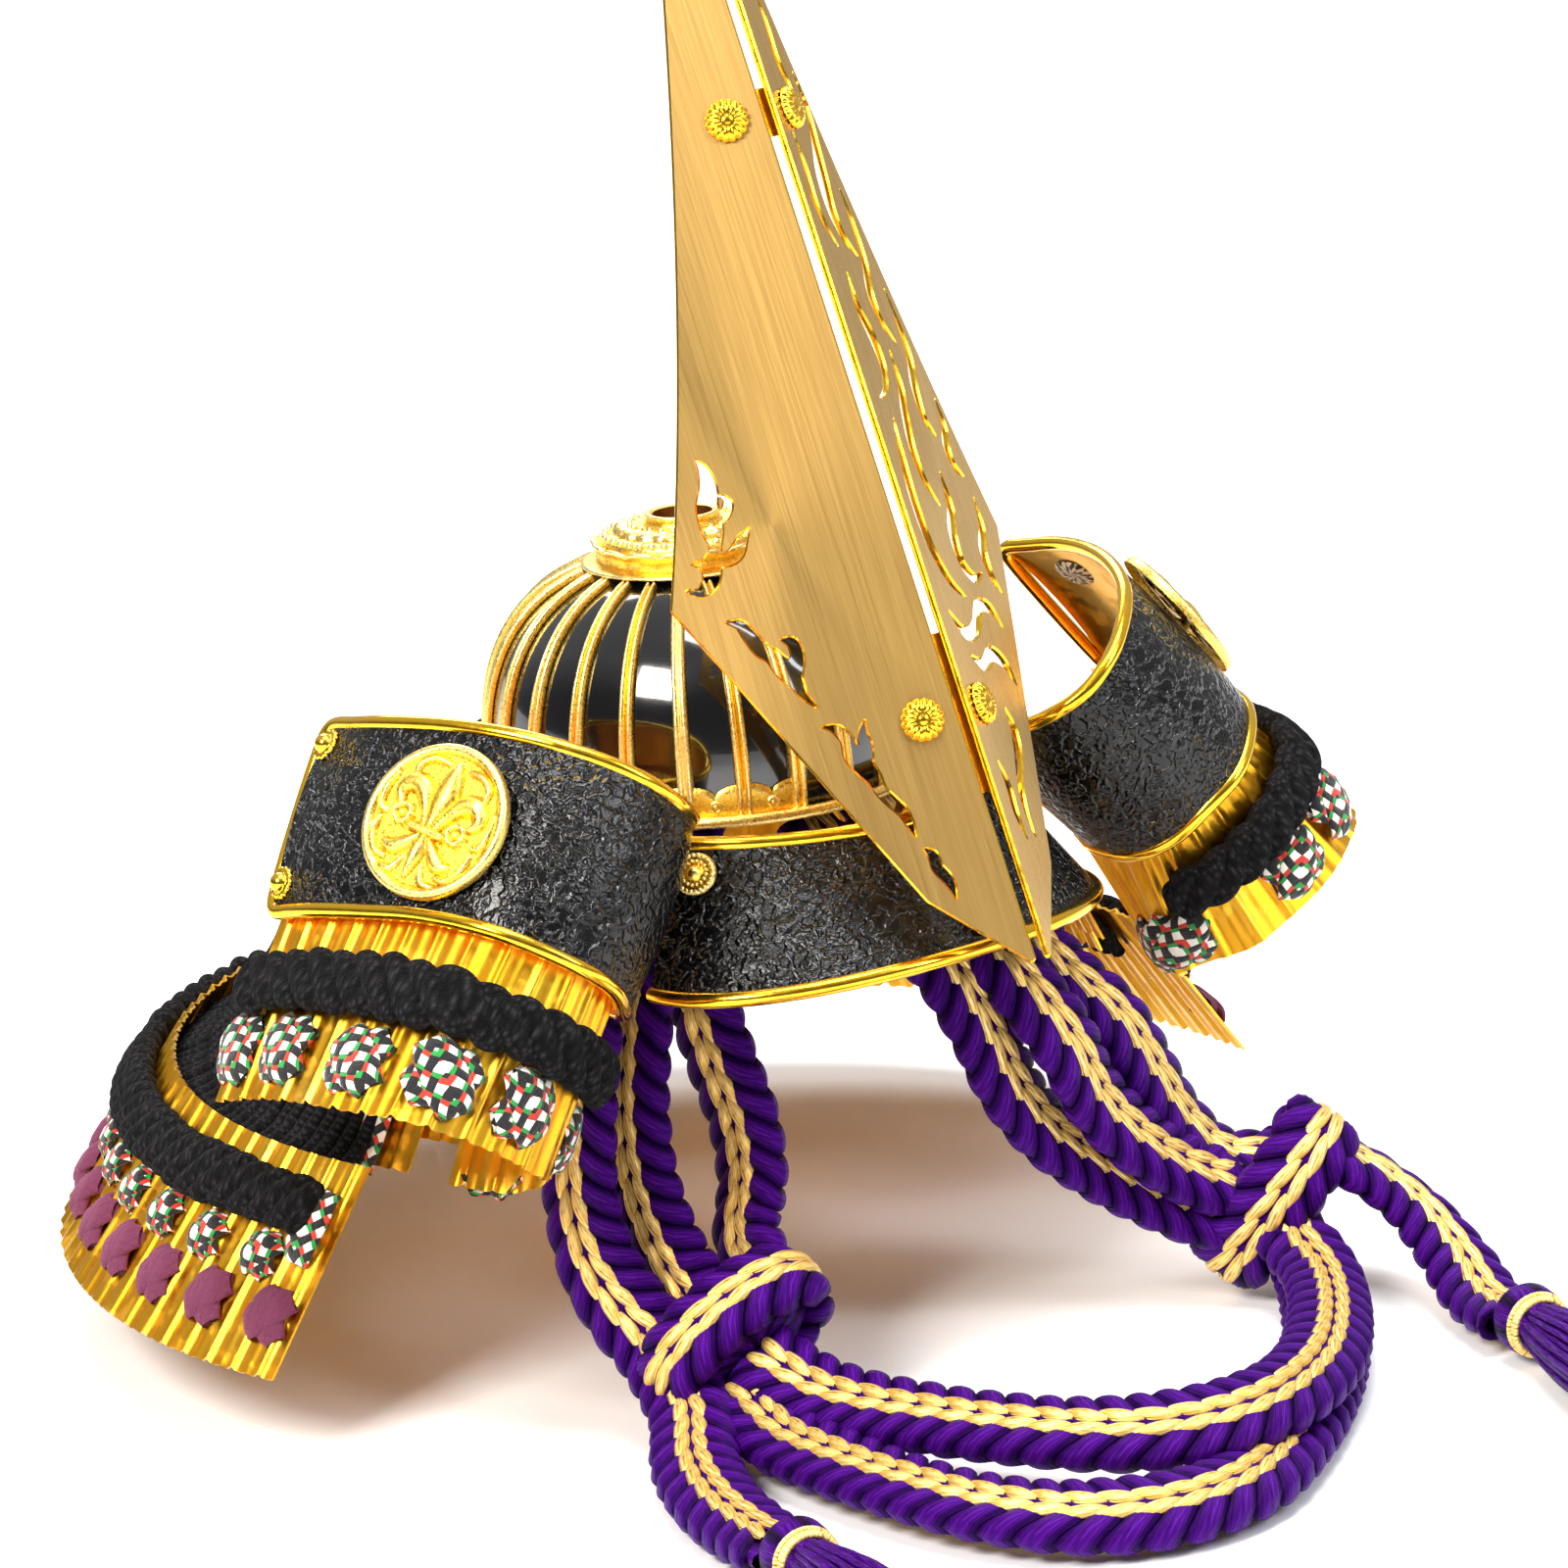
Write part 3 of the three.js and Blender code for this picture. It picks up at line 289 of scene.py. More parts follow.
GRAINY = {"Detail": 3.0, "Roughness": 0.55}
SOFT = {"Detail": 2.0, "Roughness": 0.55}
FINE = {"Detail": 4.0, "Roughness": 0.55}


def linear(code):
    """A linear colour from an sRGB hex code."""
    values = [int(code[k : k + 2], 16) / 255 for k in (0, 2, 4)]
    return tuple(v / 12.92 if v <= 0.04045 else ((v + 0.055) / 1.055) ** 2.4 for v in values) + (1.0,)


def add_node(tree, kind, *values, out=0, stops=(), blend="LINEAR", **settings):
    """Adds one shader node and returns one of its outputs.

    values fill the inputs in order, and settings are inputs by name, or else attributes. An output is
    linked and anything else is set. stops are a ramp's places, each with a hex code or a grey.
    """
    node = tree.nodes.new("ShaderNode" + kind)
    filled = list(zip(node.inputs, values))
    for name, value in settings.items():
        if name in node.inputs:
            filled.append((node.inputs[name], value))
        else:
            setattr(node, name, value)
    for socket, value in filled:
        if isinstance(value, bpy.types.NodeSocket):
            tree.links.new(value, socket)
        else:
            socket.default_value = value
    if stops:
        elements = node.color_ramp.elements
        node.color_ramp.interpolation = blend
        elements.remove(elements[-1])
        for number, (place, colour) in enumerate(stops):
            element = elements.new(place) if number else elements[0]
            element.position = place
            element.color = linear(colour) if isinstance(colour, str) else (colour, colour, colour, 1)
    return node.outputs[out]


def new_material(name, **constants):
    """A material with its shader's constant sockets set; returns it, its tree and its shader."""
    material = bpy.data.materials.new(name)
    material.use_nodes = True
    shader = material.node_tree.nodes["Principled BSDF"]
    for key, value in constants.items():
        shader.inputs[key.replace("_", " ")].default_value = value
    return material, material.node_tree, shader


def join(tree, shader, **sources):
    """Links outputs to the shader's sockets."""
    for key, source in sources.items():
        tree.links.new(source, shader.inputs[key.replace("_", " ")])


def object_place(tree):
    """Object coordinates scaled to millimetres."""
    metres = add_node(tree, "TexCoord", out="Object")
    return add_node(tree, "VectorMath", metres, operation="SCALE", Scale=1 / MM)


# Bright gold plating on drawn brass beading: near mirror, with the faint waves of hand bending.
def polished_gold():
    material, tree, shader = new_material("polished_gold", Metallic=1.0, Roughness=0.16)
    place = object_place(tree)
    clouds = add_node(tree, "TexNoise", Vector=place, Scale=1 / 14, **GRAINY)
    wear = add_node(tree, "TexNoise", Vector=place, Scale=1 / 2.5, **GRAINY)
    waves = add_node(tree, "TexNoise", Vector=place, Scale=1 / 6, **SOFT)
    join(
        tree, shader,
        Base_Color=add_node(tree, "ValToRGB", clouds, stops=[(0.3, "FFC42A"), (0.7, "FFCE40")]),
        Roughness=add_node(tree, "ValToRGB", wear, stops=[(0.3, 0.11), (0.75, 0.24)]),
        Normal=add_node(tree, "Bump", Height=waves, Strength=0.5, Distance=0.12 * MM),
    )
    return material


# Gold plating on small zinc castings, frosted in patches; its colour holds painted shade, darker in the
# hollows, and painted highlight, paler on the high places.
def cast_gold():
    material, tree, shader = new_material("cast_gold", Metallic=1.0, Roughness=0.3)
    place = object_place(tree)
    edges = add_node(tree, "NewGeometry", out="Pointiness")
    frost = add_node(tree, "TexNoise", Vector=place, Scale=1 / 0.5, **GRAINY)
    grain = add_node(tree, "TexNoise", Vector=place, Scale=1 / 0.45, **FINE)
    # Painted shade and highlight: colour by pointiness, dark gold in the hollows, pale gold on the ridges.
    golds = [(0.44, "D89A10"), (0.5, "FFCF48"), (0.58, "FFE8A0")]
    join(
        tree, shader,
        Base_Color=add_node(tree, "ValToRGB", edges, stops=golds),
        Roughness=add_node(tree, "ValToRGB", frost, stops=[(0.3, 0.2), (0.7, 0.42)]),
        Normal=add_node(tree, "Bump", Height=grain, Strength=0.7, Distance=0.12 * MM),
    )
    return material


# Yellow gold foil pressed into flutes on card: bright, finely granular, a little crinkled.
def lame_foil():
    material, tree, shader = new_material("lame_foil", Metallic=1.0, Roughness=0.36)
    place = object_place(tree)
    clouds = add_node(tree, "TexNoise", Vector=place, Scale=1 / 9, **GRAINY)
    grain = add_node(tree, "TexNoise", Vector=place, Scale=1 / 0.35, **SOFT)
    spread = add_node(tree, "TexNoise", Vector=place, Scale=1 / 4.5, **SOFT)
    creases = add_node(tree, "TexNoise", Vector=place, Scale=1 / 7, **SOFT)
    patches = add_node(tree, "ValToRGB", spread, stops=[(0.52, 0.0), (0.62, 1.0)])
    grained = add_node(tree, "Math", grain, patches, operation="MULTIPLY")
    height = add_node(tree, "Math", grained, 0.35, creases, operation="MULTIPLY_ADD")
    golds = [(0.25, "FFB624"), (0.55, "FFC030"), (0.8, "FFCC4C")]
    join(
        tree, shader,
        Base_Color=add_node(tree, "ValToRGB", clouds, stops=golds),
        Roughness=add_node(tree, "ValToRGB", grained, stops=[(0.0, 0.3), (0.5, 0.46)]),
        Normal=add_node(tree, "Bump", Height=height, Strength=0.55, Distance=0.22 * MM),
    )
    return material


# Satin gold plate brushed up and down the blade, with hairlines drawn 0.3 mm wide so that they show.
def brushed_gold(name, light, dark, rough):
    material, tree, shader = new_material(name, Metallic=1.0, Roughness=rough, Anisotropic=0.5)
    place = object_place(tree)
    lines = add_node(
        tree, "Mapping", place, vector_type="TEXTURE",
        Scale=(0.3, 0.3, 25.0), Rotation=(-CREST_LEAN, 0.0, 0.0),
    )
    hair = add_node(tree, "TexNoise", Vector=lines, Scale=1.0, **FINE)
    cloud = add_node(tree, "TexNoise", Vector=place, Scale=1 / 30, **SOFT)
    faint = add_node(tree, "Math", cloud, 0.2, operation="MULTIPLY")
    tone = add_node(tree, "Math", hair, 0.8, faint, operation="MULTIPLY_ADD")
    join(
        tree, shader,
        Base_Color=add_node(tree, "ValToRGB", tone, stops=[(0.35, dark), (0.65, light)]),
        Roughness=add_node(tree, "ValToRGB", hair, stops=[(0.3, rough - 0.02), (0.7, rough + 0.03)]),
        Normal=add_node(tree, "Bump", Height=hair, Strength=0.4, Distance=0.006 * MM),
    )
    return material


# Black urushi-look enamel over metal: a deep glassy coat with a slight orange peel.
def black_enamel():
    material, tree, shader = new_material(
        "black_enamel", Base_Color=linear("060607"), Roughness=0.12, Coat_Weight=1.0, Coat_Roughness=0.03
    )
    peel = add_node(tree, "TexNoise", Vector=object_place(tree), Scale=1 / 5, **SOFT)
    join(tree, shader, Normal=add_node(tree, "Bump", Height=peel, Strength=0.35, Distance=0.1 * MM))
    return material


# Black embossed leatherette: crackled worm-like grain about 2 mm long with a hard glossy film,
# a few gold dust smudges, and glints on the grain's edges.
def crackle_leather():
    material, tree, shader = new_material("crackle_leather", Roughness=0.2, Specular_IOR_Level=0.4)
    place = object_place(tree)
    drift = add_node(tree, "TexNoise", Vector=place, Scale=1 / 2.6, Detail=2.0, out="Color")
    bent = add_node(tree, "VectorMath", drift, (2.4, 2.4, 2.4), place, operation="MULTIPLY_ADD")
    lumps = add_node(tree, "TexNoise", Vector=bent, Scale=1 / 2.6, Detail=1.0, Roughness=0.55)
    middle = add_node(tree, "Math", lumps, 0.5, operation="SUBTRACT")
    worm = add_node(tree, "Math", middle, operation="ABSOLUTE")
    ridge = add_node(tree, "ValToRGB", worm, stops=[(0.0, 1.0), (0.05, 0.85), (0.13, 0.0)])
    fine = add_node(tree, "TexNoise", Vector=place, Scale=1 / 0.45, **GRAINY)
    roughened = add_node(tree, "Math", fine, 0.14, operation="MULTIPLY")
    height = add_node(tree, "Math", ridge, 0.7, roughened, operation="MULTIPLY_ADD")
    smudge = add_node(tree, "TexNoise", Vector=place, Scale=1 / 17, Detail=3.0, Roughness=0.7)
    dust = add_node(tree, "ValToRGB", smudge, stops=[(0.68, 0.0), (0.8, 1.0)])
    grains = add_node(tree, "TexNoise", Vector=place, Scale=1 / 0.7, **SOFT)
    specks = add_node(tree, "ValToRGB", grains, stops=[(0.5, 0.0), (0.62, 1.0)])
    gilt = add_node(tree, "Math", dust, specks, operation="MULTIPLY")
    join(
        tree, shader,
        Base_Color=add_node(tree, "ValToRGB", gilt, stops=[(0.0, "060607"), (1.0, "6E5220")]),
        Roughness=add_node(tree, "ValToRGB", fine, stops=[(0.3, 0.1), (0.7, 0.2)]),
        Normal=add_node(tree, "Bump", Height=height, Strength=1.0, Distance=0.6 * MM),
    )
    return material


# Black wool-acrylic cord: matt knitted stitches under 1 mm with soft fuzz, each stitch coloured lighter on
# its top as painted highlight and darker in its gaps as painted shade.
def wound_cord():
    material, tree, shader = new_material(
        "wound_cord", Roughness=0.9, Specular_IOR_Level=0.08, Sheen_Weight=0.02, Sheen_Roughness=0.6
    )
    yarn = add_node(tree, "UVMap", uv_map="millimetres")
    slant = add_node(tree, "Mapping", yarn, Scale=(1.0, 0.55, 1.0), Rotation=(0.0, 0.0, math.radians(30)))
    stitch = add_node(tree, "TexVoronoi", Vector=slant, Scale=1 / 0.8)
    fuzz = add_node(tree, "TexNoise", Vector=object_place(tree), Scale=1 / 0.25, **SOFT)
    height = add_node(tree, "Math", stitch, -1.0, fuzz, operation="MULTIPLY_ADD")
    # Painted light: stitch tops coloured lighter as highlight, the gaps between them darker as shade.
    stitch_highlight_gap_shade = [(0.1, "343236"), (0.4, "161517"), (0.7, "040404")]
    join(
        tree, shader,
        Base_Color=add_node(tree, "ValToRGB", stitch, stops=stitch_highlight_gap_shade),
        Normal=add_node(tree, "Bump", Height=height, Strength=1.0, Distance=0.9 * MM),
    )
    return material


# Purple rayon cord: silky yarns laid along each strand, about 0.4 mm apart, with painted shade darkening each
# strand towards its edges, down between strands.
def purple_silk():
    material, tree, shader = new_material(
        "purple_silk", Roughness=0.5, Specular_IOR_Level=0.16, Specular_Tint=linear("B46CF0")
    )
    strand = add_node(tree, "UVMap", uv_map="millimetres")
    # Painted shade: the colour darkens across each strand towards its edges, where the strands meet.
    across = add_node(tree, "SeparateXYZ", strand, out="Y")
    half_strand = add_node(tree, "Math", across, 2.85, operation="PINGPONG")
    edge = add_node(tree, "Math", half_strand, 3.0, operation="DIVIDE")
    depth = add_node(tree, "ValToRGB", edge, stops=[(0.0, 1.0), (0.45, 0.9), (0.72, 0.5), (0.95, 0.1)])
    yarns = add_node(tree, "Mapping", strand, Scale=(0.1, 1.0, 1.0), Rotation=(0.0, 0.0, math.radians(16)))
    thread = add_node(tree, "TexNoise", Vector=yarns, Scale=1 / 0.34, **SOFT)
    tone = add_node(tree, "Math", thread, depth, operation="MULTIPLY")
    purples = [(0.05, "08000F"), (0.3, "1E0240"), (0.5, "3A0668"), (0.7, "5C1C98")]
    join(
        tree, shader,
        Base_Color=add_node(tree, "ValToRGB", tone, stops=purples),
        Normal=add_node(tree, "Bump", Height=thread, Strength=1.0, Distance=0.4 * MM),
    )
    return material


# Gold metallised yarn in two plies, its colour following the plies' bumps: painted shade browns the hollows
# and painted highlight makes pale flecks on the tops.
def gold_thread():
    material, tree, shader = new_material("gold_thread", Metallic=0.6, Roughness=0.42)
    yarn = add_node(tree, "UVMap", uv_map="millimetres")
    twist = add_node(tree, "Mapping", yarn, Scale=(0.12, 1.0, 1.0), Rotation=(0.0, 0.0, math.radians(14)))
    ply = add_node(tree, "TexNoise", Vector=twist, Scale=1 / 0.36, **SOFT)
    # Painted shade and highlight: brown at the bump's low places, near white at its high places.
    golds = [(0.3, "8A5816"), (0.42, "E2B04A"), (0.55, "F8D988"), (0.7, "FFF2C8")]
    join(
        tree, shader,
        Base_Color=add_node(tree, "ValToRGB", ply, stops=golds),
        Normal=add_node(tree, "Bump", Height=ply, Strength=1.0, Distance=0.35 * MM),
    )
    return material


YARN = {"width": 2.2, "repeat": 8.4}


# Flat braid of cotton yarns about 1.6 mm wide on the slant, lying in mirrored diagonals. The colours are
# hex codes by share of the repeat along a yarn.
def flat_braid(name, colours, depth, strength, fuzz, sheen, rough=0.85):
    tinted = {"Sheen_Tint": linear(sheen[1])} if sheen[1] else {}
    material, tree, shader = new_material(
        name, Roughness=rough, Sheen_Weight=sheen[0], Sheen_Roughness=0.5, **tinted
    )
    flat = add_node(tree, "UVMap", uv_map="millimetres")
    length, width = (add_node(tree, "SeparateXYZ", flat, out=axis) for axis in "XY")
    across = add_node(tree, "Math", width, operation="ABSOLUTE")
    down = add_node(tree, "Math", length, across, operation="SUBTRACT")
    up = add_node(tree, "Math", length, across, operation="ADD")
    strip = add_node(tree, "Math", down, YARN["width"], operation="DIVIDE")
    along = add_node(tree, "Math", up, YARN["repeat"], operation="DIVIDE")
    row = add_node(tree, "Math", strip, operation="FLOOR")
    shifted = add_node(tree, "Math", row, 0.5, along, operation="MULTIPLY_ADD")
    share = add_node(tree, "Math", shifted, operation="FRACT")
    halves = ((strip, 0.5), (share, 0.25))
    bows = [add_node(tree, "Math", value, half, operation="PINGPONG") for value, half in halves]
    rounded = [add_node(tree, "Math", bow, 0.5, operation="POWER") for bow in bows]
    height = add_node(tree, "Math", *rounded, operation="MULTIPLY")
    hairs = add_node(tree, "TexNoise", Vector=object_place(tree), Scale=1 / 0.3, **SOFT)
    fuzzy = add_node(tree, "Math", hairs, fuzz, height, operation="MULTIPLY_ADD")
    join(tree, shader, Normal=add_node(tree, "Bump", Height=fuzzy, Strength=strength, Distance=depth * MM))
    if isinstance(colours, str):
        shader.inputs["Base Color"].default_value = linear(colours)
    else:
        join(tree, shader, Base_Color=add_node(tree, "ValToRGB", share, stops=colours, blend="CONSTANT"))
    return material


# The unplated brass inside the crown's tube, browned by age.
def aged_brass():
    material, tree, shader = new_material("aged_brass", Metallic=1.0, Roughness=0.4)
    place = object_place(tree)
    stains = add_node(tree, "TexNoise", Vector=place, Scale=1 / 3, **GRAINY)
    pits = add_node(tree, "TexNoise", Vector=place, Scale=1 / 1.2, **GRAINY)
    join(
        tree, shader,
        Base_Color=add_node(tree, "ValToRGB", stains, stops=[(0.3, "8A5526"), (0.7, "C98B4A")]),
        Normal=add_node(tree, "Bump", Height=pits, Strength=0.5, Distance=0.1 * MM),
    )
    return material


# Matt white seamless paper that glows more the further it lies from the helmet: painted light in place of
# lamps further out.
def paper():
    material, tree, shader = new_material("paper", Roughness=0.9, Emission_Strength=1.0)
    place = object_place(tree)
    clouds = add_node(tree, "TexNoise", Vector=place, Scale=1 / 60, **SOFT)
    # Painted light: the paper's glow grows with distance from the helmet.
    away = add_node(tree, "VectorMath", place, operation="LENGTH", out="Value")
    share = add_node(tree, "Math", away, 4000.0, operation="DIVIDE")
    join(
        tree, shader,
        Base_Color=add_node(tree, "ValToRGB", clouds, stops=[(0.3, "F4F4F4"), (0.7, "F8F8F8")]),
        Emission_Color=add_node(tree, "ValToRGB", share, stops=[(0.1, 0.0), (0.5, 0.75)]),
    )
    return material


HOUNDSTOOTH = [(0.0, "F2EDE2"), (0.27, "129038"), (0.4, "08080A"), (0.84, "C8301A")]
HERRINGBONE = [(0.0, "101012"), (0.5, "D9CFB4")]

MATERIALS = {
    # short name: maker, its values
    "gold": (polished_gold,),
    "cast": (cast_gold,),
    "bore": (aged_brass,),
    "foil": (lame_foil,),
    "satin": (brushed_gold, "brushed_gold", "D8B066", "CCA25A", 0.4),
    "bright": (brushed_gold, "bright_brushed_gold", "EABF70", "DCB062", 0.28),
    "enamel": (black_enamel,),
    "leather": (crackle_leather,),
    "rope": (wound_cord,),
    "silk": (purple_silk,),
    "thread": (gold_thread,),
    "stitch": (flat_braid, "houndstooth_braid", HOUNDSTOOTH, 0.8, 1.0, 0.3, (0.2, None)),
    "knotwork": (flat_braid, "herringbone_braid", HERRINGBONE, 0.4, 0.9, 0.0, (0.3, None)),
    "maroon": (flat_braid, "maroon_braid", "642442", 0.8, 1.0, 0.4, (0.4, "A86080"), 0.9),
    "paper": (paper,),
}


class Kit(dict):
    """Materials by short name, each made when it is first asked for."""

    def __missing__(self, key):
        maker, *values = MATERIALS[key]
        self[key] = maker(*values)
        return self[key]


KIT = Kit()


# ---------------------------------------------------------------- bowl, ribs and crown

BOWL = {"rx": 36.2, "stretch": 1.1, "height": 38.3, "widest": 4.0, "wall": 1.2, "rise": 2.3, "round": 2.9}
BASE_RING = {"rx": 38.1, "bead": 1.1, "sides": 12}
BASE_PLATE = {"foot": 0.3, "shoulder": 4.0, "lobe": 2.0, "stud_height": 2.4}


def bowl_point(turn, climb):
    """A point of the bowl's outer face: turn about Z, climb from 0 at its widest to 1 at the top."""
    turn, climb = np.broadcast_arrays(np.asarray(turn, float), np.asarray(climb, float))
    rise = np.sin(np.maximum(climb, 0) * math.pi / 2)
    radius = BOWL["rx"] * (1 - rise ** BOWL["rise"]) ** (1 / BOWL["round"])
    upper = BOWL["widest"] + (BOWL["height"] - BOWL["widest"]) * rise
    height = np.where(climb < 0, BOWL["widest"] + climb * BOWL["height"], upper)
    return np.stack([radius * np.cos(turn), BOWL["stretch"] * radius * np.sin(turn), height], axis=-1)


def bowl_lift(turn, climb, lift):
    """A bowl point moved out along the bowl's normal."""
    turn, climb, lift = np.broadcast_arrays(turn, climb, lift)
    step = 1e-3
    across = bowl_point(turn + step, climb) - bowl_point(turn - step, climb)
    upward = bowl_point(turn, climb + step) - bowl_point(turn, np.maximum(climb - step, -0.11))
    return bowl_point(turn, climb) + unit(np.cross(across, upward)) * lift[..., None]


def climb_at(height):
    low, top = BOWL["widest"], BOWL["height"]
    raised = np.arcsin(np.clip((height - low) / (top - low), 0, 1)) / (math.pi / 2)
    return np.where(height < low, (height - low) / top, raised)


def make_bowl(kit):
    shape = Shape()
    turn = np.arange(144) * 2 * math.pi / 144
    climbs = np.concatenate([np.linspace(-0.1044, 0, 4), np.linspace(0.03, 0.93, 34)])
    outer = bowl_lift(turn[None, :], climbs[:, None], 0.0)
    inner = bowl_lift(turn[None, :], climbs[::-1, None], -BOWL["wall"])
    shape.grid(np.concatenate([outer, inner, outer[:1]]), wrap_columns=True)
    bowl = shape.build("bowl_skin", [kit["enamel"]], "black_enamel")
    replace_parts(bowl, "bowl_shell")


RIB_SECTION = [
    # across, height, each as a share of the rib's
    (-0.5, 0.0), (-0.5, 0.4), (-0.44, 0.75), (-0.33, 0.97), (-0.21, 0.97), (-0.1, 0.7), (-0.03, 0.42),
    (0.03, 0.42), (0.1, 0.7), (0.21, 0.97), (0.33, 0.97), (0.44, 0.75), (0.5, 0.4), (0.5, 0.0),
]


def make_ribs(kit, settings):
    shape = Shape()
    count = settings.rib_count
    field = 2 * math.pi / count
    section = np.array(RIB_SECTION)
    climbs = np.concatenate([np.linspace(-0.1, 0, 3), np.linspace(0.03, 0.785, 40)])
    width = np.interp(climbs, [0, 0.8], [2.8, 2.0])
    for number in range(count):
        turn = number * field
        across = vec(-math.sin(turn), math.cos(turn), 0)
        heights = 0.1 + section[None, :, 1] * 1.25
        base = bowl_lift(np.full((len(climbs), len(section)), turn), climbs[:, None], heights)
        shape.grid(base + across * (section[None, :, 0] * width[:, None])[..., None])
    turn = np.arange(180) * 2 * math.pi / 180
    ring = BASE_RING["rx"] * np.stack([np.cos(turn), BOWL["stretch"] * np.sin(turn), np.zeros(180)], axis=1)
    _, side, face = frames_along(ring, [(0, 0, 1), (0, 0, 1)], closed=True)
    shape.tube(ring, side, face, BASE_RING["bead"], BASE_RING["bead"], BASE_RING["sides"], closed=True)
    bare = settings.bare_front_fields
    for number in range(count - bare):
        start = -math.pi / 2 + field * (bare / 2 + number)
        place = np.linspace(0, 1, 21)
        near = 1 - np.abs(2 * place - 1)
        top = BASE_PLATE["shoulder"] + BASE_PLATE["lobe"] * np.sqrt(1 - near**2)
        rows = np.linspace(0, 1, 9)
        heights = BASE_PLATE["foot"] + rows[:, None] * (top[None, :] - BASE_PLATE["foot"])
        edge = np.minimum(1, (1 - rows[:, None]) * 5) * np.ones(21)
        lift = 0.35 + 0.45 * np.sqrt(edge)
        outer = bowl_lift(start + place[None, :] * field, climb_at(heights), lift)
        shape.grid(outer)
        middle = start + field / 2
        centre = bowl_lift(np.array(middle), climb_at(np.array(BASE_PLATE["stud_height"])), np.array(0.85))
        normal = vec(math.cos(middle), math.sin(middle) / BOWL["stretch"], 0)
        stud = basis(centre, normal, (0, 0, 1))
        shape.revolve([(0.05, 0.35), (0.35, 0.35), (0.5, 0.05), (0.7, 0.4), (1.0, 0.4), (1.15, 0)], 14, stud)
    ribs = shape.build("ribs_and_base_plates", [kit["cast"]], "gold")
    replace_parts(ribs, "rib_cage")


def bead_ring(shape, radius, height, bead, count, place=None):
    """Small round beads in a circle about Z."""
    profile = [(0.02, bead)] + [(bead * math.sin(a), bead * math.cos(a)) for a in np.linspace(0.5, 2.2, 5)]
    for number in range(count):
        turn = 2 * math.pi * number / count
        spot = Matrix.Translation((radius * math.cos(turn), radius * math.sin(turn), height))
        shape.revolve(profile, 7, place @ spot if place else spot)


CROWN_FOOT = 38.1


def make_crown(kit):
    shape = Shape()

    def raised(*rows):
        return [(radius, CROWN_FOOT + height) for radius, height in rows]

    flange = raised((9, -0.6), (18.0, -0.5), (18.5, -0.3), (18.5, 0), (17.8, 0.2), (15, 0.6), (9, 0.8))
    shape.revolve(flange, 96)

    def petals(radius, height, turn):
        wave = np.abs(np.cos(8 * turn))[None, :] ** 0.7
        share = np.clip((height - CROWN_FOOT) / 3.6, 0, 1)
        return radius + share * (0.9 * wave - 0.5), height + share * 0.9 * (wave - 0.5)

    cup = raised(
        (15.3, 0.3), (15.9, 0.9), (15.5, 1.7), (15.9, 2.6), (16.4, 3.3), (16.1, 3.6), (15.2, 3.3),
        (14, 3.0), (9, 3.2),
    )
    shape.revolve(cup, 192, lobes=petals)
    shape.revolve(raised((14.2, 3.0), (14.4, 3.8), (13.9, 4.5), (13.0, 4.9), (9, 5.0)), 96)
    bead_ring(shape, 13.9, CROWN_FOOT + 4.6, 0.75, 38)

    def grains(radius, height, turn):
        return radius + 0.25 * np.cos(22 * turn)[None, :], height + 0.18 * np.cos(22 * turn)[None, :]

    tier = raised((12.3, 4.8), (12.2, 5.6), (11.2, 6.3), (9.4, 6.3), (7.4, 5.9), (6.2, 5.9))
    shape.revolve(tier, 132, lobes=grains)
    bead_ring(shape, 9.4, CROWN_FOOT + 6.3, 0.6, 26)
    lip = raised(
        (6.6, 5.6), (7.0, 6.1), (6.6, 6.6), (6.4, 7.2), (6.6, 7.7), (6.5, 8.0), (5.9, 8.0), (5.3, 7.7)
    )
    shape.revolve(lip, 64)
    shape.revolve(raised((5.3, 7.7), (5.2, 3), (5.2, 0.3)), 48, slot=1)
    crown = shape.build("crown_fitting", [kit["cast"], kit["bore"]], "gold")
    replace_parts(crown, "crown_ornament")


# ---------------------------------------------------------------- visor and wings

VISOR_END = math.radians(39)


def visor_top(u):
    turn = VISOR_END + (math.pi - 2 * VISOR_END) * u
    return np.stack([44 * np.cos(turn), -57.5 * np.sin(turn), np.full_like(turn, -0.7)], axis=-1)


def visor_bottom(u):
    turn = math.pi * u
    return np.stack([46 * np.cos(turn), -41 - 33 * np.sin(turn), -20.5 - 3 * np.cos(turn) ** 2], axis=-1)


WING_ROWS = np.array([
    # top x, y, z, bottom x, y, z
    [75.6, 4, 23.3, 95.2, -2.4, -3.7],
    [75.6, -12.6, 26.2, 94.5, -15.2, -1.3],
    [71.9, -26.8, 27.0, 92, -26.3, -0.2],
    [66.7, -38.3, 25.8, 89, -36.7, 0.3],
    [61.8, -45.4, 23.5, 85, -49.5, -0.8],
    [55.7, -50.7, 19.8, 79.7, -55.9, -4.1],
    [50.8, -53.0, 16.1, 72.7, -59.6, -9.2],
    [45.3, -52.6, 11.3, 66.5, -58.1, -14.2],
    [40.5, -49.0, 7.6, 62, -54, -19.5],
    [38.4, -44.0, 5.2, 58, -48, -22.5],
    [38.3, -36, 4.5, 56.5, -40, -22.5],
    [39.5, -27, 3.8, 60, -31, -21.5],
])


def wing_top(u):
    return edge_line(WING_ROWS[:, :3], u)


def wing_bottom(u):
    return edge_line(WING_ROWS[:, 3:], u)


VISOR_SURFACE = Surface(visor_top, visor_bottom)
WING_SURFACE = Surface(wing_top, wing_bottom, belly=1.5)
ROSETTE_SPOT = {"u": 0.05, "v": 0.21, "lift": 1.05}
ROSETTE_PROFILE = [
    # radius, height
    (0.05, 2.0), (0.7, 1.85), (1.25, 1.35), (1.5, 0.75), (2.2, 0.9), (2.6, 0.75), (3.2, 1.0),
    (3.75, 0.5), (3.75, 0),
]


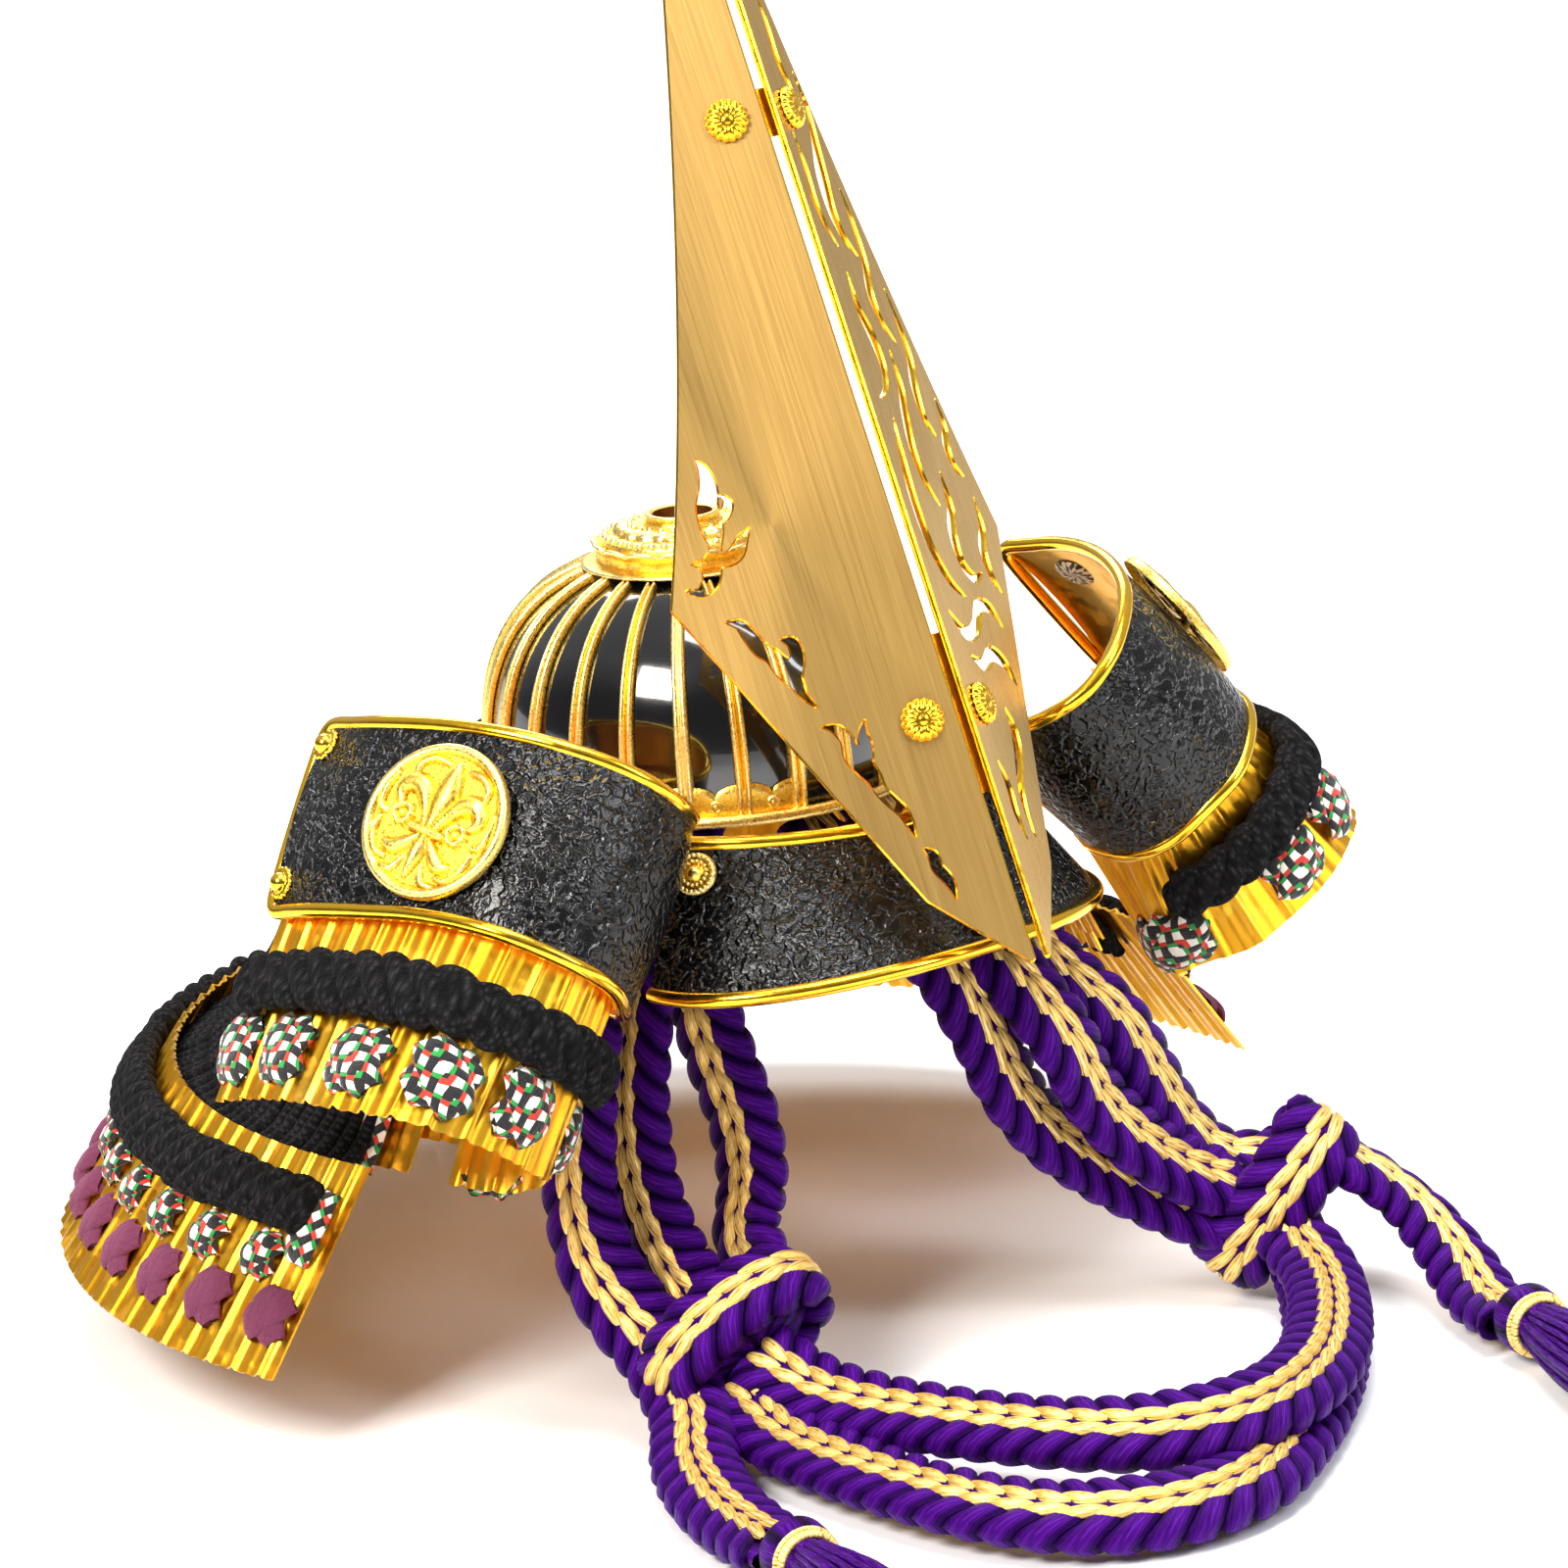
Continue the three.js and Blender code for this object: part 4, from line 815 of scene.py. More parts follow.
def make_visor(kit):
    shape = Shape()
    plate(shape, VISOR_SURFACE, np.linspace(0, 1, 120), np.linspace(0.03, 0.97, 20), 0.6, 1.2)
    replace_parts(shape.build("visor_leather", [kit["leather"]], "black_leather"), "visor_plate")
    for name, node, edge, radius in (
        ("visor_upper_bead", "visor_top_band", visor_top, 1.35),
        ("visor_lower_bead", "visor_rim", visor_bottom, 1.4),
    ):
        line = edge(np.linspace(0, 1, 140))
        _, side, face = frames_along(line, [(0, 0, 1), (0, 0, 1)])
        bead = Shape()
        bead.tube(line, side, face, radius, radius, 14)
        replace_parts(bead.build(name, [kit["gold"]], "gold"), node)
    for flip, name in ((False, "left"), (True, "right")):
        rosette = Shape()
        spot = VISOR_SURFACE.place(**ROSETTE_SPOT, flip=flip)
        rosette.revolve(ROSETTE_PROFILE, 40, spot)
        bead_ring(rosette, 2.1, 0.95, 0.34, 16, spot)
        bead_ring(rosette, 3.25, 0.75, 0.42, 24, spot)
        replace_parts(rosette.build(f"visor_flower_{name}", [kit["cast"]], "gold"), f"visor_rosette_{name}")


RELIEF = [
    # rows of x, y, half width, height; the shapes on the medallion, mirrored in x
    [(0, -2.6, 0.7, 0.9), (0, 0.5, 1.5, 1.3), (0, 4.2, 2.5, 1.6), (0, 7.4, 1.7, 1.5), (0, 10.6, 0.15, 1.1)],
    [(0.9, -2.0, 0.8, 0.9), (2.4, 1.6, 1.3, 1.2), (4.4, 4.2, 1.8, 1.5), (6.8, 4.6, 1.7, 1.5),
     (8.4, 2.6, 1.2, 1.2), (7.4, 0.9, 0.7, 1.0)],
    [(0, -2.6, 0.9, 1.0), (0, -5.4, 1.5, 1.3), (0, -8.2, 1.0, 1.1), (0, -10.4, 0.2, 0.9)],
    [(0.8, -2.9, 0.6, 0.8), (2.6, -4.9, 1.1, 1.1), (5.0, -6.6, 1.2, 1.1), (6.8, -6.4, 0.5, 0.9)],
    [(-3.1, -2.2, 0.85, 1.6), (3.1, -2.2, 0.85, 1.6)],
    [(2.2, 9.6, 0.35, 0.7), (4.8, 9.6, 0.55, 0.9), (7.2, 8.0, 0.6, 0.9), (7.4, 6.4, 0.4, 0.8)],
    [(10.6, 4.8, 0.4, 0.7), (11.2, 1.6, 0.6, 0.9), (10.6, -1.2, 0.55, 0.8), (9.2, -1.6, 0.35, 0.7)],
    [(9.8, -3.0, 0.35, 0.7), (9.6, -5.8, 0.6, 0.9), (7.8, -8.4, 0.55, 0.8), (5.6, -8.6, 0.4, 0.7)],
    [(2.0, -7.6, 0.3, 0.6), (3.4, -10.2, 0.5, 0.8), (5.6, -10.4, 0.4, 0.7)],
]


def relief_height(x, y):
    """The cast relief at x, y: the highest of the rounded strokes there."""
    height = np.zeros_like(x)
    for rows in RELIEF:
        rows = np.array(rows)
        dense = edge_line(rows, np.linspace(0, 1, 26)) if len(rows) > 2 else np.linspace(rows[0], rows[1], 26)
        for sx, sy, half, top in dense:
            for sign in (1, -1):
                reach = ((x - sign * sx) ** 2 + (y - sy) ** 2) / max(half, 0.1) ** 2
                height = np.maximum(height, top * np.sqrt(np.maximum(0, 1 - reach)))
    for sign in (1, -1):
        from_centre = np.hypot(x - sign * 5.7, y + 0.9)
        petals = 1.9 + 0.25 * np.cos(6 * np.arctan2(y + 0.9, x - sign * 5.7))
        height = np.maximum(height, np.where(from_centre < petals, 1.1 + 0.3 * np.cos(from_centre * 4), 0))
    return height


def make_medallion(kit, flip, name):
    shape = Shape()
    radius = np.concatenate([np.linspace(0.05, 11.5, 62), [11.7, 12.0, 12.4, 12.9, 13.3, 13.5, 13.5]])
    turn = np.arange(200) * 2 * math.pi / 200
    x, y = radius[:, None] * np.cos(turn), radius[:, None] * np.sin(turn)
    rim = np.interp(radius, [11.5, 11.7, 12.0, 12.4, 12.9, 13.3, 13.5], [0, 0.15, 0.5, 0.75, 0.75, 0.5, 0.1])
    z = 1.1 + relief_height(x, y) * np.clip((12 - radius[:, None]) * 2, 0, 1) * 1.15 + rim[:, None]
    z[-1] = 0
    place = WING_SURFACE.place(0.245, 0.54, 1.7, flip)
    shape.grid(carried(np.stack([x, y, z], axis=-1), place), wrap_columns=True)
    medal = shape.build(f"wing_medal_{name}", [kit["cast"]], "gold")
    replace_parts(medal, f"wing_medallion_{name}")


def wing_edging():
    """The route of the bead round a wing: top, free end with rounded mitres, bottom."""
    down = unit(wing_bottom(np.array(0.0)) - wing_top(np.array(0.0)))
    top = [wing_top(np.array(u)) for u in np.linspace(1, 0.045, 40)]
    bottom = [wing_bottom(np.array(u)) for u in np.linspace(0.045, 1, 40)]
    first, last = wing_top(np.array(0.012)), wing_bottom(np.array(0.012))
    start, end = wing_top(np.array(0.0)), wing_bottom(np.array(0.0))
    corner = [first, start * 0.6 + first * 0.4 + down * 0.7, start + down * 2.4]
    other = [end - down * 2.4, end * 0.6 + last * 0.4 - down * 0.7, last]
    return np.array(top + corner + other + bottom)


def make_wings(kit):
    route = smooth_route(wing_edging(), 0.8)
    for flip, name in ((False, "left"), (True, "right")):
        panel = Shape()
        u, v = np.linspace(0.008, 1, 130), np.linspace(0.03, 0.97, 24)
        plate(panel, WING_SURFACE, u, v, 0.6, 1.2, (0, 1), flip)
        wing = panel.build(f"wing_leather_{name}", [kit["leather"], kit["foil"]], "black_leather")
        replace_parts(wing, f"wing_panel_{name}")
        bead = Shape()
        line = mirrored(route) if flip else route
        _, side, face = frames_along(line, [(0, 0, 1), (0.9 if not flip else -0.9, 0, 0.4), (0, 0, 1)])
        bead.tube(line, side, face, 1.35, 1.35, 14)
        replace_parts(bead.build(f"wing_bead_{name}", [kit["gold"]], "gold"), f"wing_rim_{name}")
        make_medallion(kit, flip, name)
        for level, v in (("upper", 0.13), ("lower", 0.87)):
            rivet = Shape()
            spot = WING_SURFACE.place(0.022, v, 0.9, flip)
            dome = [(1.75 * math.sin(a), 0.55 + 1.65 * math.cos(a)) for a in np.linspace(0.05, 1.5, 10)]

            def flange(radius, height, turn):
                return radius + (radius > 1.9) * 0.16 * np.cos(14 * turn)[None, :], height

            rivet.revolve(dome + [(1.9, 0.5), (2.4, 0.65), (2.75, 0.35), (2.75, 0)], 84, spot, lobes=flange)
            piece = rivet.build(f"wing_stud_{level}_{name}", [kit["gold"]], "gold")
            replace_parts(piece, f"wing_rivet_{level}_{name}")
    patch = Shape()
    turn = np.arange(48) * 2 * math.pi / 48
    spot = WING_SURFACE.place(0.075, 0.24, -0.95)
    rings = np.linspace(0.02, 1, 9)
    x, y = 4.6 * rings[:, None] * np.cos(turn), 3.4 * rings[:, None] * np.sin(turn)
    z = -0.6 * np.sqrt(np.maximum(0, 1 - rings[:, None] ** 2)) * np.ones(48) + 0.1
    patch.grid(carried(np.stack([x, y, z], axis=-1), spot), wrap_columns=True, along=rings * 4.6)
    patch.build("wing_inner_knot", [kit["knotwork"]], "black_cord")


# ---------------------------------------------------------------- neck guard

LEAF_ROWS = [
    # wing place, lower x, y, z
    (0.0, 111, -4, -32.6), (0.09, 112, -17.9, -29), (0.18, 112.2, -29.8, -27),
    (0.27, 110.8, -42.7, -26.3), (0.36, 107.6, -52.9, -26.6), (0.44, 102.4, -56.2, -29.4),
    (0.5, 96.4, -58.2, -33), (0.56, 91.2, -57.9, -36.5), (0.63, 85.8, -55.8, -40.5),
    (0.7, 80.5, -53, -44.3), (0.77, 75.2, -45.7, -47.4),
]
LEAF_RETURN_ROWS = [
    # upper x, y, z, lower x, y, z
    (58.6, -42.5, -17.6, 71.6, -41.8, -49.5), (57.6, -38.5, -15.4, 73.8, -40.6, -50.6),
    (58.0, -33.5, -13.2, 77.2, -37.4, -51), (59.4, -22, -12.2, 80.6, -26, -51),
]
LEAF_TUCK = {"up": 4.0, "behind": 2.7}


def leaf_surface():
    """The second lame's turned-back leaf, its upper edge tucked behind the wing's lower bead."""
    rows = []
    for u, x, y, z in LEAF_ROWS:
        top, bottom = wing_top(np.array(u)), wing_bottom(np.array(u))
        ahead, behind = min(1, u + 0.01), max(0, u - 0.01)
        along = wing_bottom(np.array(ahead)) - wing_bottom(np.array(behind))
        normal = unit(np.cross(along, bottom - top))
        upper = bottom - unit(bottom - top) * LEAF_TUCK["up"] - normal * LEAF_TUCK["behind"]
        rows.append([*upper, x, y, z])
    rows = np.array(rows + [list(row) for row in LEAF_RETURN_ROWS])
    return Surface(lambda u: edge_line(rows[:, :3], u), lambda u: edge_line(rows[:, 3:], u))


LAMES = {
    # top and bottom edges, each half width, half length, centre y, height, y of the front ends
    "lame_1": ((42.5, 46, 0, 3.2, -22), (61.5, 66.5, 2, -19.5, -24)),
    "lame_2": ((60, 66, 3, -12, -17), (77.2, 84, 5, -47, -20)),
    "lame_3": ((68.8, 76, 5, -26, -14), (81.6, 90, 7, -52, -12.5)),
    "lame_4": ((90.5, 103, 8, -48.4, -14.2), (114.5, 122, 10, -79.5, -14.2)),
}


def lame_edge(rx, ry, cy, z, front):
    start = math.asin((front - cy) / ry)

    def edge(u):
        turn = math.pi - start - (math.pi - 2 * start) * np.asarray(u, dtype=float)
        return np.stack([rx * np.cos(turn), cy + ry * np.sin(turn), np.full_like(turn, z)], axis=-1)

    return edge


def lame_surface(name):
    top, bottom = LAMES[name]
    return Surface(lame_edge(*top), lame_edge(*bottom))


def flutes(travelled, pitch):
    """Height of the pressed flutes: a sharp ridge each pitch and a low granular one between them."""
    phase = (travelled / pitch) % 1
    ridge = np.exp(-((np.minimum(phase, 1 - phase) * pitch / 0.72) ** 2))
    between = np.exp(-((np.abs(phase - 0.5) * pitch / 0.9) ** 2))
    return 0.85 * ridge + 0.26 * between


def make_lame(kit, name, node, surface, settings, flip=False):
    shape = Shape()
    pitch = settings.flute_pitch / MM
    u_fine, reached = surface.reach(0.6)
    travelled = np.linspace(0, reached[-1], int(reached[-1] / 0.36))
    u = np.interp(travelled, reached, u_fine)
    ridges = flutes(travelled + pitch / 2, pitch)
    v = np.linspace(0, 1, 9)
    lift = (ridges * settings.flute_depth / MM - 0.15)[:, None] * np.ones(9)
    slant = np.linalg.norm(surface.at(0.5, 1.0) - surface.at(0.5, 0.0))
    drop = -0.55 / slant * (ridges[:, None] - 0.3) * np.clip(v[None, :] * 6 - 5, 0, 1)
    plate(shape, surface, u, v, lift, 0.45, flip=flip, drop=drop)
    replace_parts(shape.build(name, [kit["foil"]], "gold"), node)


ROPE = {"lift": 3.1, "thick": 2.8, "overhang": 1.06, "girth": 26, "sides": 30}


def make_rope(kit, name, node, surface, u_range, v_range, settings, flip=False):
    """Soft cord wound round a flat core: slanting turns with deep valleys between them."""
    shape = Shape()
    rng = np.random.default_rng(len(name) * 7 + 3)
    u_fine, reached = surface.reach(sum(v_range) / 2)
    ends = np.interp(u_range, u_fine, reached)
    travelled = np.linspace(*ends, int((ends[1] - ends[0]) / 0.36))
    u = np.interp(travelled, reached, u_fine)
    middle = surface.at(u, sum(v_range) / 2, ROPE["lift"])
    up = unit(surface.at(u, v_range[0]) - surface.at(u, v_range[1]))
    out = unit(middle - surface.at(u, sum(v_range) / 2))
    half = np.linalg.norm(surface.at(u, v_range[0]) - surface.at(u, v_range[1]), axis=1) / 2
    if flip:
        middle, up, out = mirrored(middle), mirrored(up), mirrored(out)
    turn = np.arange(ROPE["sides"]) * 2 * math.pi / ROPE["sides"]
    cos, sin = np.cos(turn), np.sin(turn)
    y = np.sign(cos) * np.abs(cos) ** 0.75
    z = np.sign(sin) * np.abs(sin) ** 0.8
    pitch = settings.rope_pitch / MM
    wander = np.cumsum(rng.normal(0, 0.05, len(travelled)))
    wander = np.convolve(wander, np.ones(25) / 25, "same")
    phase = (travelled[:, None] + wander[:, None] + 0.75 * half[:, None] * y) / pitch
    valley = 1 - np.abs(np.sin(math.pi * phase)) ** 0.55
    size = 1 + 0.18 * (rng.random(400)[np.floor(phase).astype(int) % 400] - 0.5)
    ends_in = np.clip(np.minimum(travelled - ends[0], ends[1] - travelled) / 2.2, 0, 1)[:, None] ** 0.5
    wide = half[:, None] * ROPE["overhang"] * size * (1 - 0.22 * valley) * (0.35 + 0.65 * ends_in)
    high = ROPE["thick"] * size * (1 - 0.6 * valley) * (0.1 + 0.9 * ends_in)
    points = middle[:, None] + (wide * y)[..., None] * up[:, None] + (high * z)[..., None] * out[:, None]
    across = np.linspace(0, ROPE["girth"], ROPE["sides"] + 1)
    shape.grid(points, wrap_columns=True, along=np.append(travelled, 0), across=across)
    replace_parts(shape.build(name, [kit["rope"]], "black_cord"), node)


def strap(shape, place, angle, length, width, rise, pinch):
    """A soft flat braid over a surface: it bulges in the middle and dives into a hole at each end."""
    t = np.linspace(-1, 1, 19)
    turn = np.arange(14) * 2 * math.pi / 14
    half = width / 2 * (1 - pinch * np.abs(t) ** 3)
    thick = 0.85 * (1 - 0.3 * t**4)
    centre = rise * (1 - t**4) - 0.35 * t**8
    x = (t * length / 2)[:, None] + 0 * turn
    y = half[:, None] * np.sign(np.cos(turn)) * np.abs(np.cos(turn)) ** 0.7
    body = thick[:, None] * np.sign(np.sin(turn)) * np.abs(np.sin(turn)) ** 0.8
    z = centre[:, None] + body - 0.12 * y**2 / half[:, None]
    c, s = math.cos(angle), math.sin(angle)
    points = np.stack([c * x - s * y, s * x + c * y, z], axis=-1)
    across = width / 2 * np.cos(np.append(turn, 0))
    along = np.append(t * length / 2 + 40, 0)
    shape.grid(carried(points, place), wrap_columns=True, along=along, across=across)


def cross_stitch(shape, place, size, lean=1):
    """Two straps crossing over four holes, the upper one wider."""
    quarter = lean * math.pi / 4
    strap(shape, place, -quarter, size * 1.28, size * 0.78, 0.8, pinch=0.4)
    strap(shape, place, quarter, size * 1.28, size * 0.82, 1.5, pinch=0.4)


LEAF_STITCHES = [
    # place along, down
    (0.0175, 0.758), (0.0985, 0.768), (0.2058, 0.777), (0.3224, 0.773), (0.4911, 0.762), (0.74, 0.78),
    (0.9543, 0.88),
]
HEM_STITCHES = {
    # number, place of the first, down, size as a share of a large one
    "houndstooth": (24, 0.0368, 0.486, 0.7),
    "maroon": (25, 0.0155, 0.733, 0.81),
}
LACE = {"first": 9.0, "pitch": 3.0, "half_width": 1.65, "half_thick": 1.3, "step": 2.2, "sides": 8}
END_BRAIDS = [
    # lame, place along, down, lift, length, width
    ("lame_4", 0.0135, 0.32, 1.5, 13.5, 7.6),
    ("lame_3", 0.031, 0.8, 1.2, 15.0, 7.4),
]


def make_laces(kit, settings):
    size = settings.stitch_size / MM
    leaf = leaf_surface()
    colours = Shape()
    for u, v in LEAF_STITCHES:
        cross_stitch(colours, leaf.place(u, v, 0.7), size)
        cross_stitch(colours, leaf.place(u, v, 0.7, flip=True), size, lean=-1)
    third, fourth = lame_surface("lame_3"), lame_surface("lame_4")
    plain = Shape()
    for name, shape in (("houndstooth", colours), ("maroon", plain)):
        count, first, down, share = HEM_STITCHES[name]
        for place in np.linspace(first, 1 - first, count):
            cross_stitch(shape, fourth.place(place, down, 0.7), size * share)
    for lame, u, v, lift, length, width in END_BRAIDS:
        surface = lame_surface(lame)
        for place in (u, 1 - u):
            strap(colours, surface.place(place, v, lift), math.pi / 2, length, width, 1.0, pinch=0.3)
    colours.build("houndstooth_stitches", [kit["stitch"]], "purple_cord")
    plain.build("maroon_stitches", [kit["maroon"]], "purple_cord")
    laces = Shape()
    u_fine, reached = third.reach(0.5)
    rng = np.random.default_rng(5)
    for travelled in np.arange(LACE["first"], reached[-1] - LACE["first"], LACE["pitch"]):
        u = float(np.interp(travelled, reached, u_fine))
        sag, sway = rng.uniform(0, 1.4), rng.uniform(-0.0025, 0.0025)
        hung = [third.at(u, v, lift) for v, lift in ((0.0, 1.5), (0.3, 1.7), (0.6, 1.9))]
        loop = third.at(u, 0.8, 1.0) * 0.55 + fourth.at(u, 0.1, -1.9) * 0.45 - vec(0, 0, sag)
        tucked = [fourth.at(u + sway, v, -2.3) for v in (0.12, 0.3)]
        line = smooth_route(hung + [loop] + tucked, LACE["step"])
        _, side, face = frames_along(line, [third.at(u, 0.5, 1) - third.at(u, 0.5, 0)] * 2)
        laces.tube(line, side, face, LACE["half_width"], LACE["half_thick"], LACE["sides"])
    laces.build("black_laces", [kit["rope"]], "black_cord")


ROPED_LAMES = {
    # lame's number: from and to down it, how far in from its ends
    1: ((0.15, 0.48), 0.02),
    2: ((0.05, 0.31), 0.03),
    4: ((0.11, 0.37), 0.012),
}


def make_neck_guard(kit, settings):
    leaf = leaf_surface()
    for flip, side in ((False, "left"), (True, "right")):
        make_lame(kit, f"leaf_{side}", f"lame_2_wing_{side}", leaf, settings, flip)
        node = f"rope_band_2_wing_{side}"
        make_rope(kit, f"leaf_rope_{side}", node, leaf, (0.004, 0.725), (0.32, 0.6), settings, flip)
    for name in LAMES:
        make_lame(kit, name.replace("_", "_plate_"), name, lame_surface(name), settings)
    for number, (v_range, inset) in ROPED_LAMES.items():
        names = f"wound_rope_{number}", f"rope_band_{number}"
        make_rope(kit, *names, lame_surface(f"lame_{number}"), (inset, 1 - inset), v_range, settings)


# ---------------------------------------------------------------- crest

CREST_FOOT = vec(0, -89.3, -20.3)
CREST_LEAN = math.radians(21.8)
CREST_TURN = math.radians(30.75)
CREST = {"thickness": 1.2, "spread": 1.3, "tip": 214.0, "bevel": 0.32, "cell": 0.5}
BLADE_OUTLINE = {"low": (15.4, 15.9), "side": (74.5, 41.9), "bend": (128, 21)}
FLAME_STROKES = [
    # rows of s up the ridge, w across the blade, half width
    [(97.5, 30, 0), (95.5, 29.4, 0.7), (92.5, 29.5, 1.3), (89, 30.8, 1.7), (85.5, 31, 1.7), (82.5, 31.4, 0.8),
     (80, 32.8, 1.4), (77.4, 33.8, 1.3), (76, 36, 0.7), (77, 38.2, 0)],
    [(90.5, 27.5, 0), (89, 27.1, 0.6), (87.2, 28.4, 0.8), (86.4, 30.4, 0.6)],
    [(84, 25, 0), (82.4, 26.8, 0.8), (80.6, 28.4, 1.2), (80, 30.4, 1.0), (81, 32.4, 0.6)],
    [(81, 36, 0), (80.5, 34.5, 0.6), (79.5, 32.8, 0.8)],
    [(70, 33.5, 0), (69, 31.5, 0.7), (66.5, 30.4, 1.1), (64, 29.4, 1.2), (62.5, 28, 1.2), (59.5, 26.6, 1.5),
     (56.8, 25.4, 1.1), (54.5, 24.9, 0.5), (52, 23.5, 0)],
    [(64.5, 25.7, 0), (63.6, 24.1, 0.8), (61, 23.9, 1.0), (58.4, 25.2, 1.2)],
    [(48.5, 23.5, 0), (47.5, 21.5, 0.7), (45.2, 20.3, 1.0), (42.6, 20.3, 1.3), (40.2, 19, 1.5), (38, 18, 1.2),
     (35.6, 17.5, 0.9), (33.2, 16.3, 0.9), (31, 15, 0.8), (28.5, 14.5, 0.5), (26.5, 14.3, 0)],
    [(47.5, 16.5, 0), (45.5, 17.4, 0.6), (43.2, 17.6, 1.0), (40.6, 18.4, 1.0)],
    [(24, 13.5, 0), (22.6, 12.5, 0.7), (20.4, 12.4, 0.8), (18.4, 11.5, 0.8), (16.4, 11, 0.5), (14.5, 11, 0)],
]
SCROLL_STROKES = [
    # rows of s up the ridge, w across the blade, half width
    [(172, 8.5, 0), (166, 9.6, 0.5), (160, 9.2, 0.8), (154, 10.8, 0.6), (148.5, 10.6, 0)],
    [(157, 14.4, 0), (150, 15.6, 0.6), (144, 14.2, 1.3), (138, 12.4, 2.2), (132, 11.8, 1.6), (127, 13.8, 0.8),
     (124, 17, 0)],
    [(146, 5.6, 0), (140, 6.2, 0.6), (134, 5.6, 0.9), (129, 7.2, 0.5), (126, 9.4, 0)],
    [(136, 18.6, 0), (130, 19.6, 0.6), (123, 19.2, 1.0), (117, 17.2, 1.2), (112, 18.4, 0.7),
     (108.6, 21.6, 0)],
    [(121, 9.6, 0), (115, 9.6, 0.9), (109, 11.8, 1.4), (104, 12.2, 1.0), (100, 9.6, 0.6), (98.8, 6.4, 0)],
    [(118, 24.4, 0), (112, 25.6, 0.5), (106, 25.8, 1.0), (100, 23.6, 1.3), (95, 23.6, 0.8), (91.4, 26.4, 0)],
    [(107, 17.6, 0), (101, 17.4, 0.9), (95.6, 15.2, 1.3), (90, 13.6, 1.2), (84, 14.4, 0.8), (79.4, 17.6, 0)],
    [(95, 9.2, 0), (88, 7.6, 1.0), (80, 6.6, 1.4), (72, 7.8, 1.2), (66, 11.4, 0.8), (63, 16, 0)],
    [(98, 31.4, 0), (93, 31.6, 0.8), (89.4, 29.6, 1.2), (86, 30.4, 0.7), (84, 33.2, 0)],
    [(85, 22.6, 0), (79, 22.4, 1.1), (74, 19.4, 1.5), (69, 19.4, 1.1), (66, 23, 0.8), (66.6, 27, 0)],
    [(80, 34.6, 0), (74.6, 34, 0.9), (70.6, 31, 1.3), (66, 31.2, 0.9), (62.6, 33.6, 0)],
    [(61, 6.4, 0), (57, 10.4, 1.0), (57.4, 16, 1.3), (61, 20.4, 1.2), (60.4, 25.6, 0.9), (56.6, 28.8, 0)],
    [(53, 9.6, 0), (51, 14.4, 1.0), (52.6, 19.6, 1.3), (50.4, 24.4, 1.0), (46.4, 26.4, 0)],
    [(43, 17.6, 0), (39, 18.4, 1.2), (34.6, 16.6, 1.4), (30.4, 13.6, 1.0), (25.6, 12, 0.7), (20.6, 12.4, 0)],
    [(34.4, 6.6, 0), (30, 7.6, 0.9), (25.4, 7.2, 0.9), (20.4, 8.4, 0)],
]


def crest_axes():
    """Unit ways up the crest's ridge, across its left blade and out of that blade's face."""
    ridge = vec(0, math.sin(CREST_LEAN), math.cos(CREST_LEAN))
    back = vec(0, math.cos(CREST_LEAN), -math.sin(CREST_LEAN))
    across = vec(math.cos(CREST_TURN), 0, 0) + back * math.sin(CREST_TURN)
    return ridge, across, vec(math.sin(CREST_TURN), 0, 0) - back * math.cos(CREST_TURN)


def polygon_distance(points, outline):
    """Signed distance from points to a closed outline, below zero inside it."""
    best = np.full(len(points), 1e9)
    inside = np.zeros(len(points), dtype=bool)
    for a, b in zip(outline, np.roll(outline, -1, axis=0)):
        along = b - a
        share = np.clip(((points - a) @ along) / max(along @ along, 1e-12), 0, 1)
        best = np.minimum(best, np.linalg.norm(points - a - share[:, None] * along, axis=1))
        crosses = (a[1] > points[:, 1]) != (b[1] > points[:, 1])
        reach = a[0] + (points[:, 1] - a[1]) * along[0] / (along[1] if along[1] else 1e-12)
        inside ^= crosses & (points[:, 0] < reach)
    return np.where(inside, -best, best)


def blade_field(strokes):
    """How far each place of a grid over the blade lies outside its metal, below zero inside."""
    bend = np.linspace(0, 1, 28)[:, None]
    tip, side = vec(CREST["tip"], CREST["spread"] + 0.6), vec(*BLADE_OUTLINE["side"])
    control = vec(*BLADE_OUTLINE["bend"])
    curve = (1 - bend) ** 2 * tip + 2 * bend * (1 - bend) * control + bend**2 * side
    low = CREST["spread"]
    outline = np.vstack([[(0.6, low), (CREST["tip"], low)], curve, [BLADE_OUTLINE["low"], (0.2, low + 0.8)]])
    s = np.arange(-1, CREST["tip"] + 1, CREST["cell"])
    w = np.arange(0.3, BLADE_OUTLINE["side"][1] + 1.2, CREST["cell"])
    points = np.stack(np.meshgrid(s, w, indexing="ij"), axis=-1).reshape(-1, 2)
    field = polygon_distance(points, outline)
    for rows in strokes:
        spine = edge_line(rows, np.linspace(0, 1, 12 * len(rows)))
        near = np.flatnonzero(np.abs(points - spine[:, :2].mean(axis=0)).max(axis=1) < 26)
        gap = np.linalg.norm(points[near, None] - spine[None, :, :2], axis=2) - np.maximum(spine[:, 2], 0.04)
        field[near] = np.maximum(field[near], -gap.min(axis=1))
    return s, w, field.reshape(len(s), len(w))


